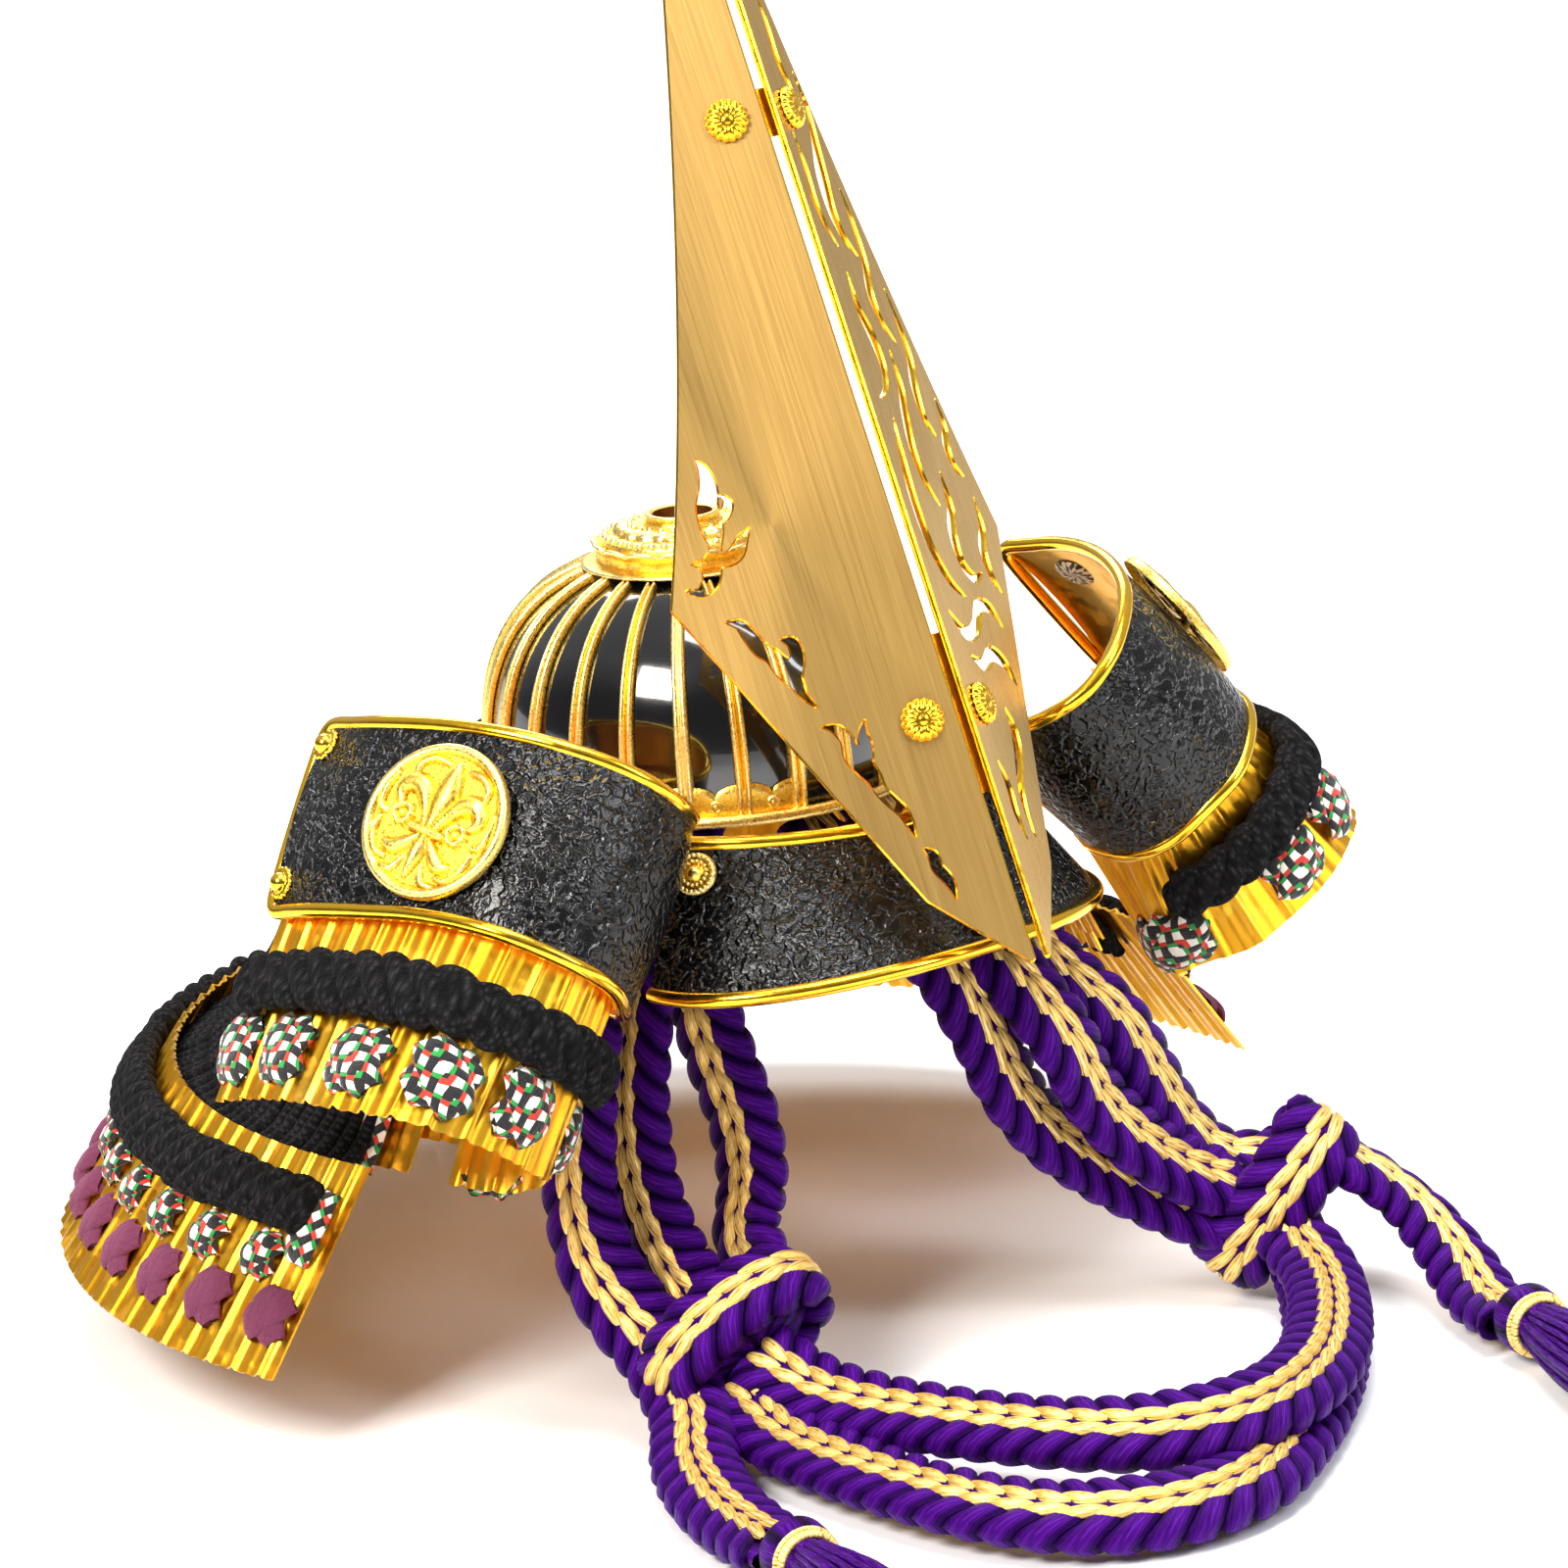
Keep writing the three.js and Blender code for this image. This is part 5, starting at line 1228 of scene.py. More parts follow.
def cut_cells(s, w, field, level):
    """Cells where field is below level, cut along it: points, faces and the edges on the cut."""
    points, index, faces, rim = [], {}, [], []

    def point(key, place):
        if key not in index:
            index[key] = len(points)
            points.append(place)
        return index[key]

    inside = field < level
    touched = inside[:-1, :-1] | inside[1:, :-1] | inside[:-1, 1:] | inside[1:, 1:]
    for i, j in np.argwhere(touched):
        ring = [(i, j), (i + 1, j), (i + 1, j + 1), (i, j + 1)]
        face, kinds = [], []
        for a, b in zip(ring, ring[1:] + ring[:1]):
            if inside[a]:
                face.append(point((a, a), (s[a[0]], w[a[1]])))
                kinds.append("inside")
            if inside[a] != inside[b]:
                share = (level - field[a]) / (field[b] - field[a])
                place = (s[a[0]] + share * (s[b[0]] - s[a[0]]), w[a[1]] + share * (w[b[1]] - w[a[1]]))
                face.append(point((min(a, b), max(a, b)), place))
                kinds.append("leaving" if inside[a] else "entering")
        faces.append(face)
        for k, kind in enumerate(kinds):
            if kind == "leaving":
                rim.append((face[k], face[(k + 1) % len(face)]))
    return np.array(points), faces, rim


def make_blade(kit, name, node, strokes, flip, material):
    """A thin blade with bright bevels round its outline and its piercings."""
    s, w, field = blade_field(strokes)
    bevel, half = CREST["bevel"], CREST["thickness"] / 2
    flat, faces, rim = cut_cells(s, w, field, -bevel)
    slope = np.stack(np.gradient(field, CREST["cell"]), axis=-1)
    i = np.clip((flat[:, 0] - s[0]) / CREST["cell"], 0, len(s) - 2).astype(int)
    j = np.clip((flat[:, 1] - w[0]) / CREST["cell"], 0, len(w) - 2).astype(int)
    outward = unit(slope[i, j] + slope[i + 1, j] + slope[i, j + 1] + slope[i + 1, j + 1])
    used = sorted({k for edge in rim for k in edge})
    order = {k: n for n, k in enumerate(used)}
    edge_points = flat[used] + outward[used] * bevel
    levels = [(flat, half), (edge_points, half - bevel), (edge_points, bevel - half), (flat, -half)]
    starts = np.cumsum([0] + [len(rows) for rows, _ in levels])
    flat_points = np.vstack([np.column_stack([rows, np.full(len(rows), z)]) for rows, z in levels])
    everything = [tuple(face) for face in faces]
    everything += [tuple(starts[3] + k for k in reversed(face)) for face in faces]
    bright = len(everything)
    for a, b in rim:
        m, n = order[a], order[b]
        everything.append((b, a, starts[1] + m, starts[1] + n))
        everything.append((starts[1] + n, starts[1] + m, starts[2] + m, starts[2] + n))
        everything.append((starts[2] + n, starts[2] + m, starts[3] + a, starts[3] + b))
    points = CREST_FOOT + flat_points @ np.array(crest_axes())
    points = mirrored(points) if flip else points
    mesh = bpy.data.meshes.new(name)
    mesh.from_pydata((points * MM).tolist(), [], everything)
    mesh.materials.append(kit[material])
    mesh.materials.append(kit["gold"])
    slots = np.zeros(len(everything), dtype=np.int32)
    slots[bright:] = 1
    mesh.polygons.foreach_set("material_index", slots)
    piece = finish_mesh(name, mesh)
    mesh.polygons.foreach_set("use_smooth", np.ones(len(everything), dtype=bool))
    mesh.set_sharp_from_angle(angle=math.radians(24))
    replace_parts(piece, node)


def crest_place(s, w, lift, flip):
    """A matrix on a blade's face, s up the ridge and w across it."""
    ridge, across, normal = crest_axes()
    point = CREST_FOOT + s * ridge + w * across + lift * normal
    if flip:
        point, normal, ridge = mirrored(point), mirrored(normal), mirrored(ridge)
    return basis(point, normal, ridge)


FLOWER_PROFILE = [
    # radius, height
    (0.05, 1.5), (0.6, 1.5), (1.0, 1.15), (1.3, 1.25), (2.2, 1.45), (3.0, 1.1), (3.6, 0.6), (3.75, 0.15),
    (3.75, 0),
]
FLOWERS = {
    # level: up the ridge, across the blade
    "lower": (44.6, 7.2),
    "upper": (150.4, 7.6),
}


def make_crest(kit):
    make_blade(kit, "crest_horn_left", "crest_blade_left", SCROLL_STROKES, False, "bright")
    make_blade(kit, "crest_horn_right", "crest_blade_right", FLAME_STROKES, True, "satin")

    def petals(radius, height, turn):
        wave = np.abs(np.cos(8 * turn))[None, :] ** 0.6
        share = np.clip((radius - 1.0) / 1.6, 0, 1)
        return radius * (1 - 0.1 * share * (1 - wave)), height - 0.3 * share * (1 - wave)

    for level, (s, w) in FLOWERS.items():
        for flip, side in ((False, "left"), (True, "right")):
            shape = Shape()
            shape.revolve(FLOWER_PROFILE, 96, crest_place(s, w, 0.9, flip), lobes=petals)
            piece = shape.build(f"crest_flower_{level}_{side}", [kit["gold"]], "gold")
            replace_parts(piece, f"crest_rivet_{level}_{side}")
    for node in ("crest_bracket", "crest_spacer"):
        dress(node, kit["gold"])


# ---------------------------------------------------------------- chin cord

CORD = {"half_width": 7.75, "half_thick": 3.5, "bulge": 1.5}
RIGHT_FACE = [(-0.95, -0.12, 0.28)] * 2
LEFT_FACE = [(0, -0.7, 0.7)] * 2
KNOTS = {
    # centre, the bundle's way, the knot's broad way
    "right": ((-48.5, -59.5, -79), (-0.04, -0.93, -0.37), (0.86, -0.22, 0.46)),
    "left": ((56.4, -81, -78.5), (0.5, -0.6, -0.62), (0.63, -0.24, 0.74)),
}
KNOT = {"half_width": 18.0, "half_depth": 10.5}
FRONT_UPPER = [
    (55, -85, -81.8), (52.2, -91, -84.8), (47.1, -101.5, -86.5), (32.9, -118.4, -86.5),
    (16.4, -132.6, -86), (0, -140.6, -85.2), (-13, -141.6, -84.8), (-24.4, -136.9, -84.8),
    (-31.8, -128.5, -85), (-37.6, -116.3, -85.4), (-42.3, -102.2, -85.8), (-45.8, -88.8, -86),
    (-47.7, -78.3, -85.2), (-48.9, -66, -81.8),
]
FRONT_LOWER = [
    (56.5, -83, -86.5), (56.5, -89, -91.5), (45, -104.1, -93), (25.1, -124.2, -93), (2, -141.5, -92.6),
    (-20, -152.4, -91.4), (-35.9, -151.7, -90.8), (-48.2, -143.2, -90.4), (-55.1, -128.7, -90.2),
    (-57.5, -112.8, -90.2), (-58, -96.5, -90.2), (-56.8, -80.7, -89.8), (-53, -66, -86.6),
]
UPPER_FACE = [
    (-0.3, -0.5, 0.8), (0, -0.4, 0.9), (0, -0.4, 0.92), (0, -0.6, 0.8), (-0.1, -0.6, 0.8), (-0.4, -0.5, 0.77)
]
LOWER_FACE = [
    (0, -0.1, 1), (0, -0.05, 1), (0, -0.1, 1), (0, -0.5, 0.87), (-0.1, -0.5, 0.87), (-0.4, -0.3, 0.87)
]
LEFT_MIDDLE = [
    (15, -26, -6), (15, -42, -18), (17.3, -59, -31.5), (21.2, -68, -43.6), (26, -69.5, -55.1),
    (32.5, -72.2, -63.8), (41, -74.5, -71), (50.2, -78.5, -76.1), (54.5, -80.2, -78),
]
LEFT_INNER = [
    (0, -27, -6), (2, -43, -18), (7, -54, -29), (10.5, -59, -40.5), (14.2, -61.2, -52), (20, -63, -61),
    (28.2, -65.5, -68.6), (36, -69.2, -74.6), (44.2, -74.6, -79.9), (50.5, -79, -81.5),
]
LEFT_OUTER = [
    (28, -22, -6), (28.5, -36, -17), (32.5, -52, -35), (39.2, -61, -46), (43.3, -65, -56.7),
    (46.7, -68, -65.2), (51.7, -73.5, -72.2),
]
LEFT_TAIL = [(65.6, -86.5, -73.4), (72, -98, -81), (71, -110, -88), (66, -122, -92), (61, -135, -91)]
RIGHT_OUTER = [
    (-40, -18, -5), (-44, -22, -20), (-50, -26.5, -33), (-55, -29.5, -46), (-58.5, -32.5, -58),
    (-59.5, -37, -68.5), (-58.5, -43, -76.2), (-57.7, -48.9, -80.9),
]
RIGHT_TAIL = [
    (-61.5, -62.5, -88), (-71.5, -76, -91.5), (-78.5, -90, -92.5), (-83, -105, -92.5), (-87, -119, -91),
]
RIGHT_MIDDLE = [
    (-31.5, -21.5, -5), (-35.5, -25.5, -20), (-41, -29, -33), (-45, -31.5, -46), (-47, -35, -57.5),
    (-47.8, -40.5, -66.8), (-48, -46, -72.6), (-48.2, -51.3, -75.8), (-48.4, -59, -78.8), (-48.7, -65, -81.2),
]
RIGHT_INNER = [
    (-20.5, -21, 6), (-23, -25, -5), (-27, -29, -20), (-29, -32.5, -31), (-28.5, -36, -41.5),
    (-27.8, -39.5, -51), (-30, -43.5, -60), (-35.5, -48, -66.8), (-38.6, -53.3, -70.5),
    (-42.5, -59.5, -74.5),
]
CORDS = [
    # name, nodes it replaces, rows, faces, tassel
    ("chin_loop_upper", ["chin_cord_front_upper"], FRONT_UPPER, UPPER_FACE, None),
    ("chin_loop_lower", ["chin_cord_front_lower"], FRONT_LOWER, LOWER_FACE, None),
    ("chin_strand_left_middle", ["chin_cord_left_middle"], LEFT_MIDDLE, LEFT_FACE, None),
    ("chin_strand_left_inner", ["chin_cord_left_inner"], LEFT_INNER, LEFT_FACE, None),
    ("chin_strand_left_outer", ["chin_cord_left_outer", "chin_cord_left_tail"], LEFT_OUTER + LEFT_TAIL,
     LEFT_FACE + [(0.1, -0.7, 0.7), (0.3, -0.5, 0.8), (0.2, -0.2, 0.95), (0, 0, 1)], "left"),
    ("chin_strand_right_outer", ["chin_cord_right_outer", "chin_cord_right_tail"], RIGHT_OUTER + RIGHT_TAIL,
     RIGHT_FACE + [(-0.8, -0.2, 0.5), (-0.5, -0.3, 0.82), (-0.2, -0.2, 0.96), (0, 0, 1)], "right"),
    ("chin_strand_right_middle", ["chin_cord_right_middle"], RIGHT_MIDDLE, RIGHT_FACE, None),
    ("chin_strand_right_inner", ["chin_cord_right_inner"], RIGHT_INNER, RIGHT_FACE, None),
]


class Braid:
    """A flat braid on a route: silk strands slant out from its middle and gold yarn lies in a chain of Vs."""

    def __init__(self, line, looks, settings, closed=False):
        self.closed = closed
        tangent, side, face = frames_along(line, looks, closed)
        if closed:
            line, side, face = (np.vstack([rows, rows[:1]]) for rows in (line, side, face))
        self.line, self.side, self.face = line, side, face
        steps = np.linalg.norm(np.diff(line, axis=0), axis=1)
        self.travelled = np.concatenate([[0], np.cumsum(steps)])
        self.length = self.travelled[-1]
        wide = CORD["half_width"] - CORD["bulge"]
        high = CORD["half_thick"] - CORD["bulge"]
        turn = np.linspace(0, math.pi, 60)
        self.oval = np.stack([
            wide * np.abs(np.sin(turn)) ** 0.85,
            high * np.sign(np.cos(turn)) * np.abs(np.cos(turn)) ** 0.8,
        ], axis=1)
        self.girth = np.concatenate([[0], np.cumsum(np.linalg.norm(np.diff(self.oval, axis=0), axis=1))])
        self.count = max(1, round(self.length / (settings.braid_pitch / MM)))
        self.pitch = self.length / self.count

    def at(self, s, around, lift):
        """Points s along and around the braid from the middle of its face, lifted off it."""
        s = np.mod(s, self.length) if self.closed else np.clip(s, 0, self.length)
        sign = np.where(around < 0, -1.0, 1.0)
        reach = np.clip(np.abs(around), 0, self.girth[-1])
        x, y = (np.interp(reach, self.girth, self.oval[:, k]) for k in (0, 1))
        ahead = np.minimum(reach + 0.2, self.girth[-1])
        behind = np.maximum(reach - 0.2, 0)
        dx, dy = (
            np.interp(ahead, self.girth, self.oval[:, k]) - np.interp(behind, self.girth, self.oval[:, k])
            for k in (0, 1)
        )
        size = np.maximum(np.hypot(dx, dy), 1e-9)
        x, y = (x - lift * dy / size) * sign, y + lift * dx / size
        centre, side, face = (
            np.stack([np.interp(s, self.travelled, rows[:, k]) for k in range(3)], axis=-1)
            for rows in (self.line, self.side, self.face)
        )
        return centre + x[..., None] * unit(side) + y[..., None] * unit(face)

    def weave(self, shape):
        """Adds the body and the silk strands in slot 0, and the gold chains in slot 1."""
        rows = np.linspace(0, self.length, max(6, int(self.length / 3)))
        around = np.linspace(-self.girth[-1], self.girth[-1], 25)[:-1]
        shape.grid(self.at(rows[:, None], around[None, :], np.full((1, 1), -0.1)), wrap_columns=True)
        share = np.linspace(0, 1, 15)
        t = np.linspace(-1, 1, 9)
        for number in range(int(self.length / self.pitch)):
            s0 = number * self.pitch
            for sign in (1, -1):
                half_turn = self.girth[-1] * share
                slope = 0.95 * np.minimum(half_turn, self.girth[-1] - half_turn)
                start = s0 + (0.5 * self.pitch if sign < 0 else 0)
                s = start + slope[:, None] + t[None, :] * self.pitch * 0.55
                fullness = CORD["bulge"] * (0.55 + 0.45 * np.sin(math.pi * share))[:, None]
                swell = np.sqrt(1 - t**2)[None, :] * fullness
                width_along = t * self.pitch / 2
                reach = sign * np.maximum(half_turn, 0.01)[:, None] * np.ones(9)
                shape.grid(self.at(s, reach, swell), along=half_turn, across=width_along)
            for base in (0.0, self.girth[-1]):
                for sign in (1, -1):
                    place = np.linspace(0, 1, 9)
                    across = np.linspace(0, math.pi, 6)
                    middle = sign * (0.85 + 1.35 * place)
                    body = np.sin(math.pi * np.clip(place * 0.92 + 0.05, 0, 1)) ** 0.6
                    wide = middle[:, None] - 1.3 * body[:, None] * np.cos(across)[None, :]
                    lift = 0.75 + 1.15 * body[:, None] * np.sin(across)[None, :] - 0.35 * place[:, None]
                    s = s0 + self.pitch * (1.42 * place[:, None] - 0.15) + 0 * across
                    around = wide if base == 0 else np.where(wide >= 0, base - wide, -base - wide)
                    shape.grid(self.at(s, around, lift), 1, along=place * 6.5, across=np.linspace(0, 3.6, 6))
        return shape


def make_knot(kit, settings, side):
    centre, bundle, broad = (vec(*row) for row in KNOTS[side])
    z = unit(bundle)
    y = unit(np.cross(z, unit(broad)))
    x = np.cross(y, z)
    turn = np.arange(120) * 2 * math.pi / 120
    wide = KNOT["half_width"] - CORD["half_thick"]
    deep = KNOT["half_depth"] - CORD["half_thick"]
    line = centre + wide * np.cos(turn)[:, None] * x + deep * np.sin(turn)[:, None] * y
    outward = unit(np.cos(turn)[:, None] * deep * x + np.sin(turn)[:, None] * wide * y)
    looks = np.vstack([outward, outward[:1]])
    shape = Braid(line, looks, settings, closed=True).weave(Shape())
    place = Matrix((Vector(x), Vector(y), Vector(z))).transposed().to_4x4()
    place.translation = Vector(centre)
    core = Matrix.Diagonal((1, deep / wide, 1, 1))
    plug = [(0.1, -6.6), (9, -6.4), (12.2, -4.8), (13, 0), (12.2, 4.8), (9, 6.4), (0.1, 6.6)]
    shape.revolve(plug, 36, place @ core)
    knot = shape.build(f"chin_knot_wrap_{side}", [kit["silk"], kit["thread"]], "purple_cord")
    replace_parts(knot, f"chin_knot_{side}")
    return knot


TASSEL = {"gap": 0.6, "height": -89.5, "rise": 0.03, "threads": 110, "length": 38.0, "thread_radius": 0.62}
TASSEL_HEAD = [
    # radius, height
    (0.1, -0.5), (2.5, -0.3), (4.2, 0.2), (5.6, 1.5), (6.1, 2.8), (6.0, 5.6), (5.2, 7.4), (4.4, 8.6),
    (4.6, 10.5), (0.1, 11),
]


def make_tassel(kit, side):
    tail = LEFT_TAIL if side == "left" else RIGHT_TAIL
    last, before = vec(*tail[-1]), vec(*tail[-2])
    way = last - before
    way[2] = 0
    way = unit(way)
    way[2] = TASSEL["rise"]
    way = unit(way)
    foot = last + way * TASSEL["gap"]
    foot[2] = TASSEL["height"]
    place = basis(foot, way, (0, 0, 1))
    shape = Shape()
    shape.revolve(TASSEL_HEAD, 40, place)
    for height, radius in ((7.4, 5.3), (8.3, 4.9), (9.2, 4.9)):
        turns = np.linspace(0, 2 * math.pi, 9)
        ring = [(radius + 0.55 * math.cos(a), height + 0.5 * math.sin(a)) for a in turns]
        shape.revolve(ring, 40, place, slot=1)
    rng = np.random.default_rng(11 if side == "left" else 12)
    golden = math.pi * (3 - math.sqrt(5))
    for number in range(TASSEL["threads"]):
        share = math.sqrt((number + 0.5) / TASSEL["threads"])
        turn = number * golden
        t = np.linspace(0, 1, 12)
        flare = np.interp(t, [0, 0.15, 0.5, 1], [3.9, 4.6, 6.0, 6.9]) * share
        wander = 0.25 * np.sin(t * 5 + rng.uniform(0, 6)) * t
        twist = turn + 0.1 * t * rng.uniform(-1, 1)
        z = 8.8 + t * (TASSEL["length"] - 9.2 - rng.uniform(0, 1.6))
        line = np.stack([(flare + wander) * np.cos(twist), (flare + wander) * np.sin(twist), z], axis=1)
        line = carried(line, place)
        _, across, face = frames_along(line, [(0.1, 0.2, 1)] * 2)
        shape.tube(line, across, face, TASSEL["thread_radius"], TASSEL["thread_radius"], 6)
    piece = shape.build(f"tassel_skirt_{side}", [kit["silk"], kit["thread"]], "purple_cord")
    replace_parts(piece, f"tassel_{side}")
    return piece


def make_cords(kit, settings):
    knots = {side: make_knot(kit, settings, side) for side in KNOTS}
    tassels = {side: make_tassel(kit, side) for side in KNOTS}
    for name, nodes, rows, looks, side in CORDS:
        line = smooth_route(rows, 1.2)
        braid = Braid(line, looks, settings)
        piece = braid.weave(Shape()).build(name, [kit["silk"], kit["thread"]], "purple_cord")
        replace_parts(piece, *nodes)
        line[0] * MM
        2 * CORD["half_width"] * MM
        [tassels[side], knots[side]] if side else []


# ---------------------------------------------------------------- stage


def make_camera(settings):
    azimuth, elevation = settings.azimuth, settings.elevation
    back = Vector((
        math.cos(elevation) * math.sin(azimuth), -math.cos(elevation) * math.cos(azimuth), math.sin(elevation)
    ))
    right = Vector((math.cos(azimuth), math.sin(azimuth), 0))
    up = back.cross(right)
    turned = Matrix((right, up, back)).transposed() @ Matrix.Rotation(settings.roll, 3, "Z")
    data = bpy.data.cameras.new("camera")
    data.sensor_width = 36
    data.lens = settings.lens
    data.clip_start, data.clip_end = 0.01, 20
    camera = bpy.data.objects.new("camera", data)
    camera.matrix_world = Matrix.Translation(settings.camera_place) @ turned.to_4x4()
    bpy.context.scene.collection.objects.link(camera)
    bpy.context.scene.camera = camera


SOFTBOXES = [
    # name, azimuth and elevation it shines from, distance, width, height, watts, colour
    ("key", -75, 38, 1.15, 0.4, 0.4, 17.0, "FFFAF4"),
    ("fill", 20, 34, 1.3, 0.35, 0.6, 7.0, "F8FAFF"),
    ("top", 10, 80, 1.1, 0.7, 0.5, 14.0, "FFFFFF"),
    ("rim", 150, 40, 1.3, 0.6, 0.6, 9.0, "FFFFFF"),
]


def make_lights():
    for name, azimuth, elevation, distance, width, height, watts, colour in SOFTBOXES:
        data = bpy.data.lights.new(name, "AREA")
        data.shape = "RECTANGLE"
        data.size, data.size_y = width, height
        data.energy = watts
        data.color = linear(colour)[:3]
        turn, rise = math.radians(azimuth), math.radians(elevation)
        away = Vector((math.cos(rise) * math.sin(turn), -math.cos(rise) * math.cos(turn), math.sin(rise)))
        light = bpy.data.objects.new(name, data)
        light.location = away * distance
        light.rotation_euler = away.to_track_quat("Z", "Y").to_euler()
        bpy.context.scene.collection.objects.link(light)


# How the studio's walls brighten: towards the ceiling, the helmet's left and its back.
WALL_LEAN = (0.4, 0.25, 1.0)
WALL_SHADES = [(0.0, "C8C8C8"), (0.42, "86868A"), (0.56, "8C8C90"), (0.75, "F4F4F6"), (1.0, "FFFFFF")]


def make_world(strength):
    """The studio walls, graded as the helmet sees them and white behind it."""
    world = bpy.data.worlds.new("studio")
    world.use_nodes = True
    tree = world.node_tree
    way = add_node(tree, "TexCoord", out="Generated")
    lean = add_node(tree, "VectorMath", way, WALL_LEAN, operation="DOT_PRODUCT", out="Value")
    share = add_node(tree, "Math", lean, 0.5, 0.5, operation="MULTIPLY_ADD")
    shade = add_node(tree, "ValToRGB", share, stops=WALL_SHADES)
    seen = add_node(tree, "LightPath", out="Is Camera Ray")
    white = add_node(tree, "Math", seen, 2.0, operation="MULTIPLY")
    background = tree.nodes["Background"]
    join(tree, background, Color=add_node(tree, "VectorMath", shade, white, operation="ADD"))
    background.inputs["Strength"].default_value = strength
    bpy.context.scene.world = world
    bpy.context.scene.view_settings.view_transform = "Standard"


FLOOR = {"reach": 7000, "rows": 15, "gap": 0.4}


def make_floor(kit):
    low = CAD_BOX[0][2] / MM - FLOOR["gap"]
    across = np.linspace(-FLOOR["reach"], FLOOR["reach"], FLOOR["rows"])
    x, y = np.meshgrid(across, across, indexing="ij")
    points = np.stack([x, y, np.full(x.shape, low)], axis=-1)
    shape = Shape()
    shape.grid(points)
    mesh = shape.mesh("floor")
    mesh.materials.append(kit["paper"])
    floor = bpy.data.objects.new("floor", mesh)
    bpy.context.scene.collection.objects.link(floor)


# ---------------------------------------------------------------- add-on


def length(name, description, default):
    return bpy.props.FloatProperty(name=name, description=description, default=default, unit="LENGTH")


def angle(name, description, default):
    return bpy.props.FloatProperty(name=name, description=description, default=default, subtype="ANGLE")


class StageSettings(bpy.types.PropertyGroup):
    azimuth: angle("Azimuth", "Where the camera stands round the helmet, from its front", math.radians(-38))
    elevation: angle("Elevation", "How far the camera looks down", math.radians(15))
    roll: angle("Roll", "How far the camera is turned about its own line of sight", math.radians(-4.6))
    lens: bpy.props.FloatProperty(
        name="Lens", description="Focal length on a 36 mm sensor", default=139.5, unit="CAMERA"
    )
    camera_place: bpy.props.FloatVectorProperty(
        name="Camera", description="Where the camera stands", default=(-0.630, -0.829, 0.274),
        subtype="TRANSLATION", unit="LENGTH",
    )
    world_strength: bpy.props.FloatProperty(
        name="World", description="Brightness of the studio walls", default=0.55
    )


class CordSettings(bpy.types.PropertyGroup):
    braid_pitch: length("Braid pitch", "Distance from one silk strand to the next along the cord", 0.0057)


class BowlSettings(bpy.types.PropertyGroup):
    rib_count: bpy.props.IntProperty(name="Ribs", description="Number of ribs round the bowl", default=24)
    bare_front_fields: bpy.props.IntProperty(
        name="Bare fields", description="Front fields without a scalloped base plate", default=2
    )


class GuardSettings(bpy.types.PropertyGroup):
    flute_pitch: length("Flute pitch", "Distance between the sharp ridges of a lame", 0.0063)
    flute_depth: length("Flute depth", "Depth of the pressed flutes", 0.001)
    rope_pitch: length("Rope pitch", "Distance between the turns of the wound rope", 0.0055)
    stitch_size: length("Stitch size", "Width of a large cross stitch", 0.0105)


class KABUTO_OT_stage(bpy.types.Operator):
    """Add the camera, the soft lights, the studio walls and the paper floor"""

    bl_idname = "kabuto.stage"
    bl_label = "Stage"

    def execute(self, context):
        settings = context.scene.kabuto_stage
        make_camera(settings)
        make_lights()
        make_world(settings.world_strength)
        make_floor(KIT)
        return {"FINISHED"}


class KABUTO_OT_cords(bpy.types.Operator):
    """Add the braided chin cord with its knots and tassels"""

    bl_idname = "kabuto.cords"
    bl_label = "Chin Cord"

    def execute(self, context):
        make_cords(KIT, context.scene.kabuto_cord)
        return {"FINISHED"}


class KABUTO_OT_bowl(bpy.types.Operator):
    """Add the enamelled bowl with its gold ribs and scalloped base plates"""

    bl_idname = "kabuto.bowl"
    bl_label = "Bowl"

    def execute(self, context):
        make_bowl(KIT)
        make_ribs(KIT, context.scene.kabuto_bowl)
        return {"FINISHED"}


class KABUTO_OT_crown(bpy.types.Operator):
    """Add the tiered fitting on top of the bowl"""

    bl_idname = "kabuto.crown"
    bl_label = "Crown Fitting"

    def execute(self, context):
        make_crown(KIT)
        return {"FINISHED"}


class KABUTO_OT_visor(bpy.types.Operator):
    """Add the visor plate with its beads and flowers"""

    bl_idname = "kabuto.visor"
    bl_label = "Visor"

    def execute(self, context):
        make_visor(KIT)
        return {"FINISHED"}


class KABUTO_OT_wings(bpy.types.Operator):
    """Add the turned-back wings with their beads, medallions and studs"""

    bl_idname = "kabuto.wings"
    bl_label = "Wings"

    def execute(self, context):
        make_wings(KIT)
        return {"FINISHED"}


class KABUTO_OT_neck_guard(bpy.types.Operator):
    """Add the fluted lames and their wound ropes"""

    bl_idname = "kabuto.neck_guard"
    bl_label = "Neck Guard"

    def execute(self, context):
        make_neck_guard(KIT, context.scene.kabuto_guard)
        return {"FINISHED"}


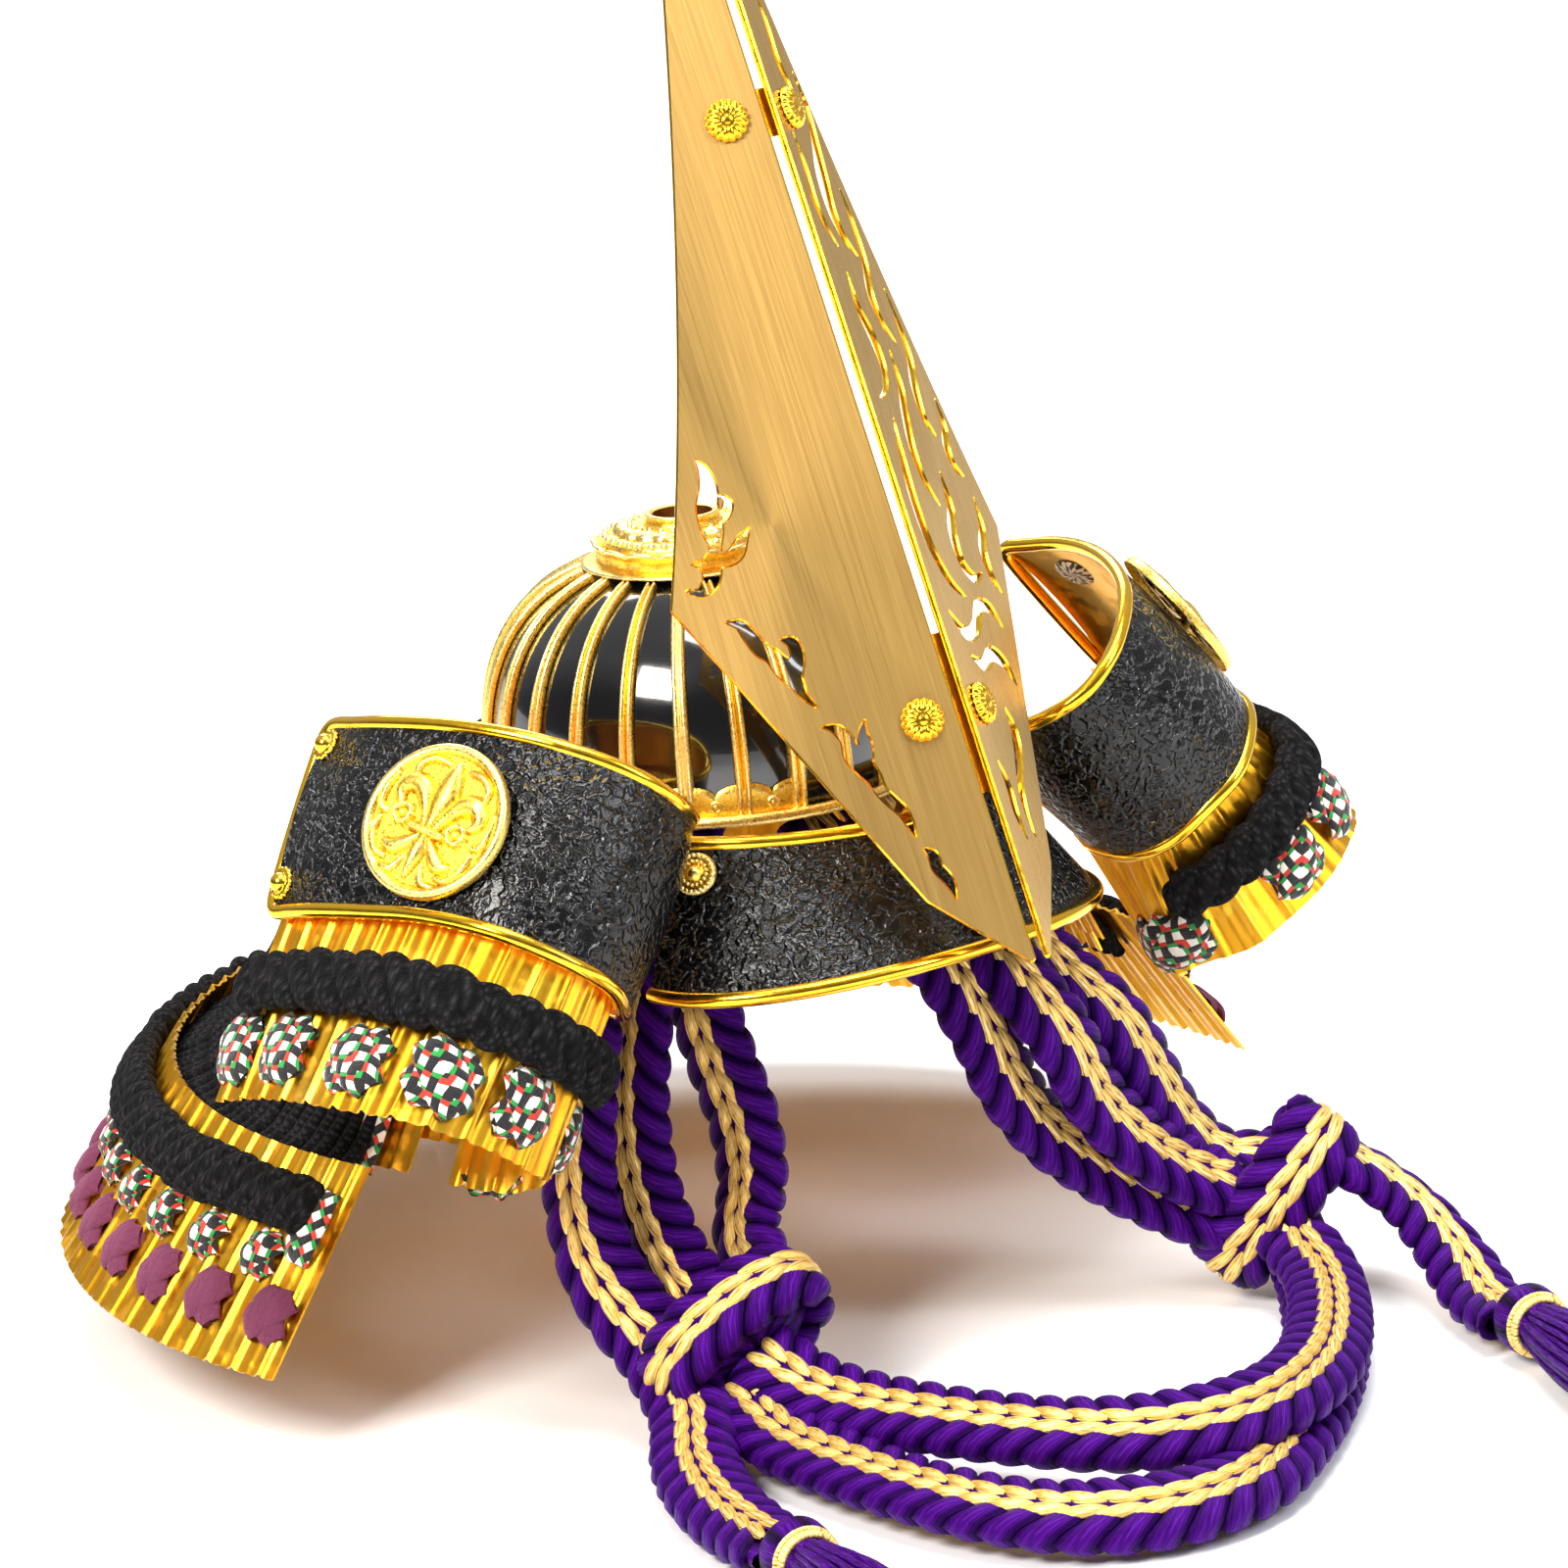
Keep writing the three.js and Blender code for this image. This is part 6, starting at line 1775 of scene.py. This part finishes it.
class KABUTO_OT_laces(bpy.types.Operator):
    """Add the cross stitches, braids and laces that hold the lames"""

    bl_idname = "kabuto.laces"
    bl_label = "Laces"

    def execute(self, context):
        make_laces(KIT, context.scene.kabuto_guard)
        return {"FINISHED"}


class KABUTO_OT_crest(bpy.types.Operator):
    """Add the two pierced horns of the crest with their flowers"""

    bl_idname = "kabuto.crest"
    bl_label = "Crest"

    def execute(self, context):
        make_crest(KIT)
        return {"FINISHED"}


OPERATORS = (
    KABUTO_OT_stage, KABUTO_OT_cords, KABUTO_OT_bowl, KABUTO_OT_crown, KABUTO_OT_visor, KABUTO_OT_wings,
    KABUTO_OT_neck_guard, KABUTO_OT_laces, KABUTO_OT_crest,
)
SETTINGS = {
    "kabuto_stage": StageSettings,
    "kabuto_cord": CordSettings,
    "kabuto_bowl": BowlSettings,
    "kabuto_guard": GuardSettings,
}


class KABUTO_PT_panel(bpy.types.Panel):
    """Lists the helmet's pieces"""

    bl_idname = "KABUTO_PT_panel"
    bl_label = "Kabuto"
    bl_space_type = "VIEW_3D"
    bl_region_type = "UI"
    bl_category = "Kabuto"

    def draw(self, context):
        for operator in OPERATORS:
            self.layout.operator(operator.bl_idname)
        for name in SETTINGS:
            box = self.layout.box()
            group = getattr(context.scene, name)
            for key in group.bl_rna.properties.keys():
                if key not in ("rna_type", "name"):
                    box.prop(group, key)


def register():
    for kind in (*SETTINGS.values(), *OPERATORS, KABUTO_PT_panel):
        bpy.utils.register_class(kind)
    for name, group in SETTINGS.items():
        setattr(bpy.types.Scene, name, bpy.props.PointerProperty(type=group))


def unregister():
    for name in SETTINGS:
        delattr(bpy.types.Scene, name)
    for kind in reversed((*SETTINGS.values(), *OPERATORS, KABUTO_PT_panel)):
        bpy.utils.unregister_class(kind)


def main():
    register()
    for operator in OPERATORS:
        group, name = operator.bl_idname.split(".")
        getattr(getattr(bpy.ops, group), name)()


def plain(box):
    return [[float(value) for value in corner] for corner in box]


if __name__ == "__main__":
    main()
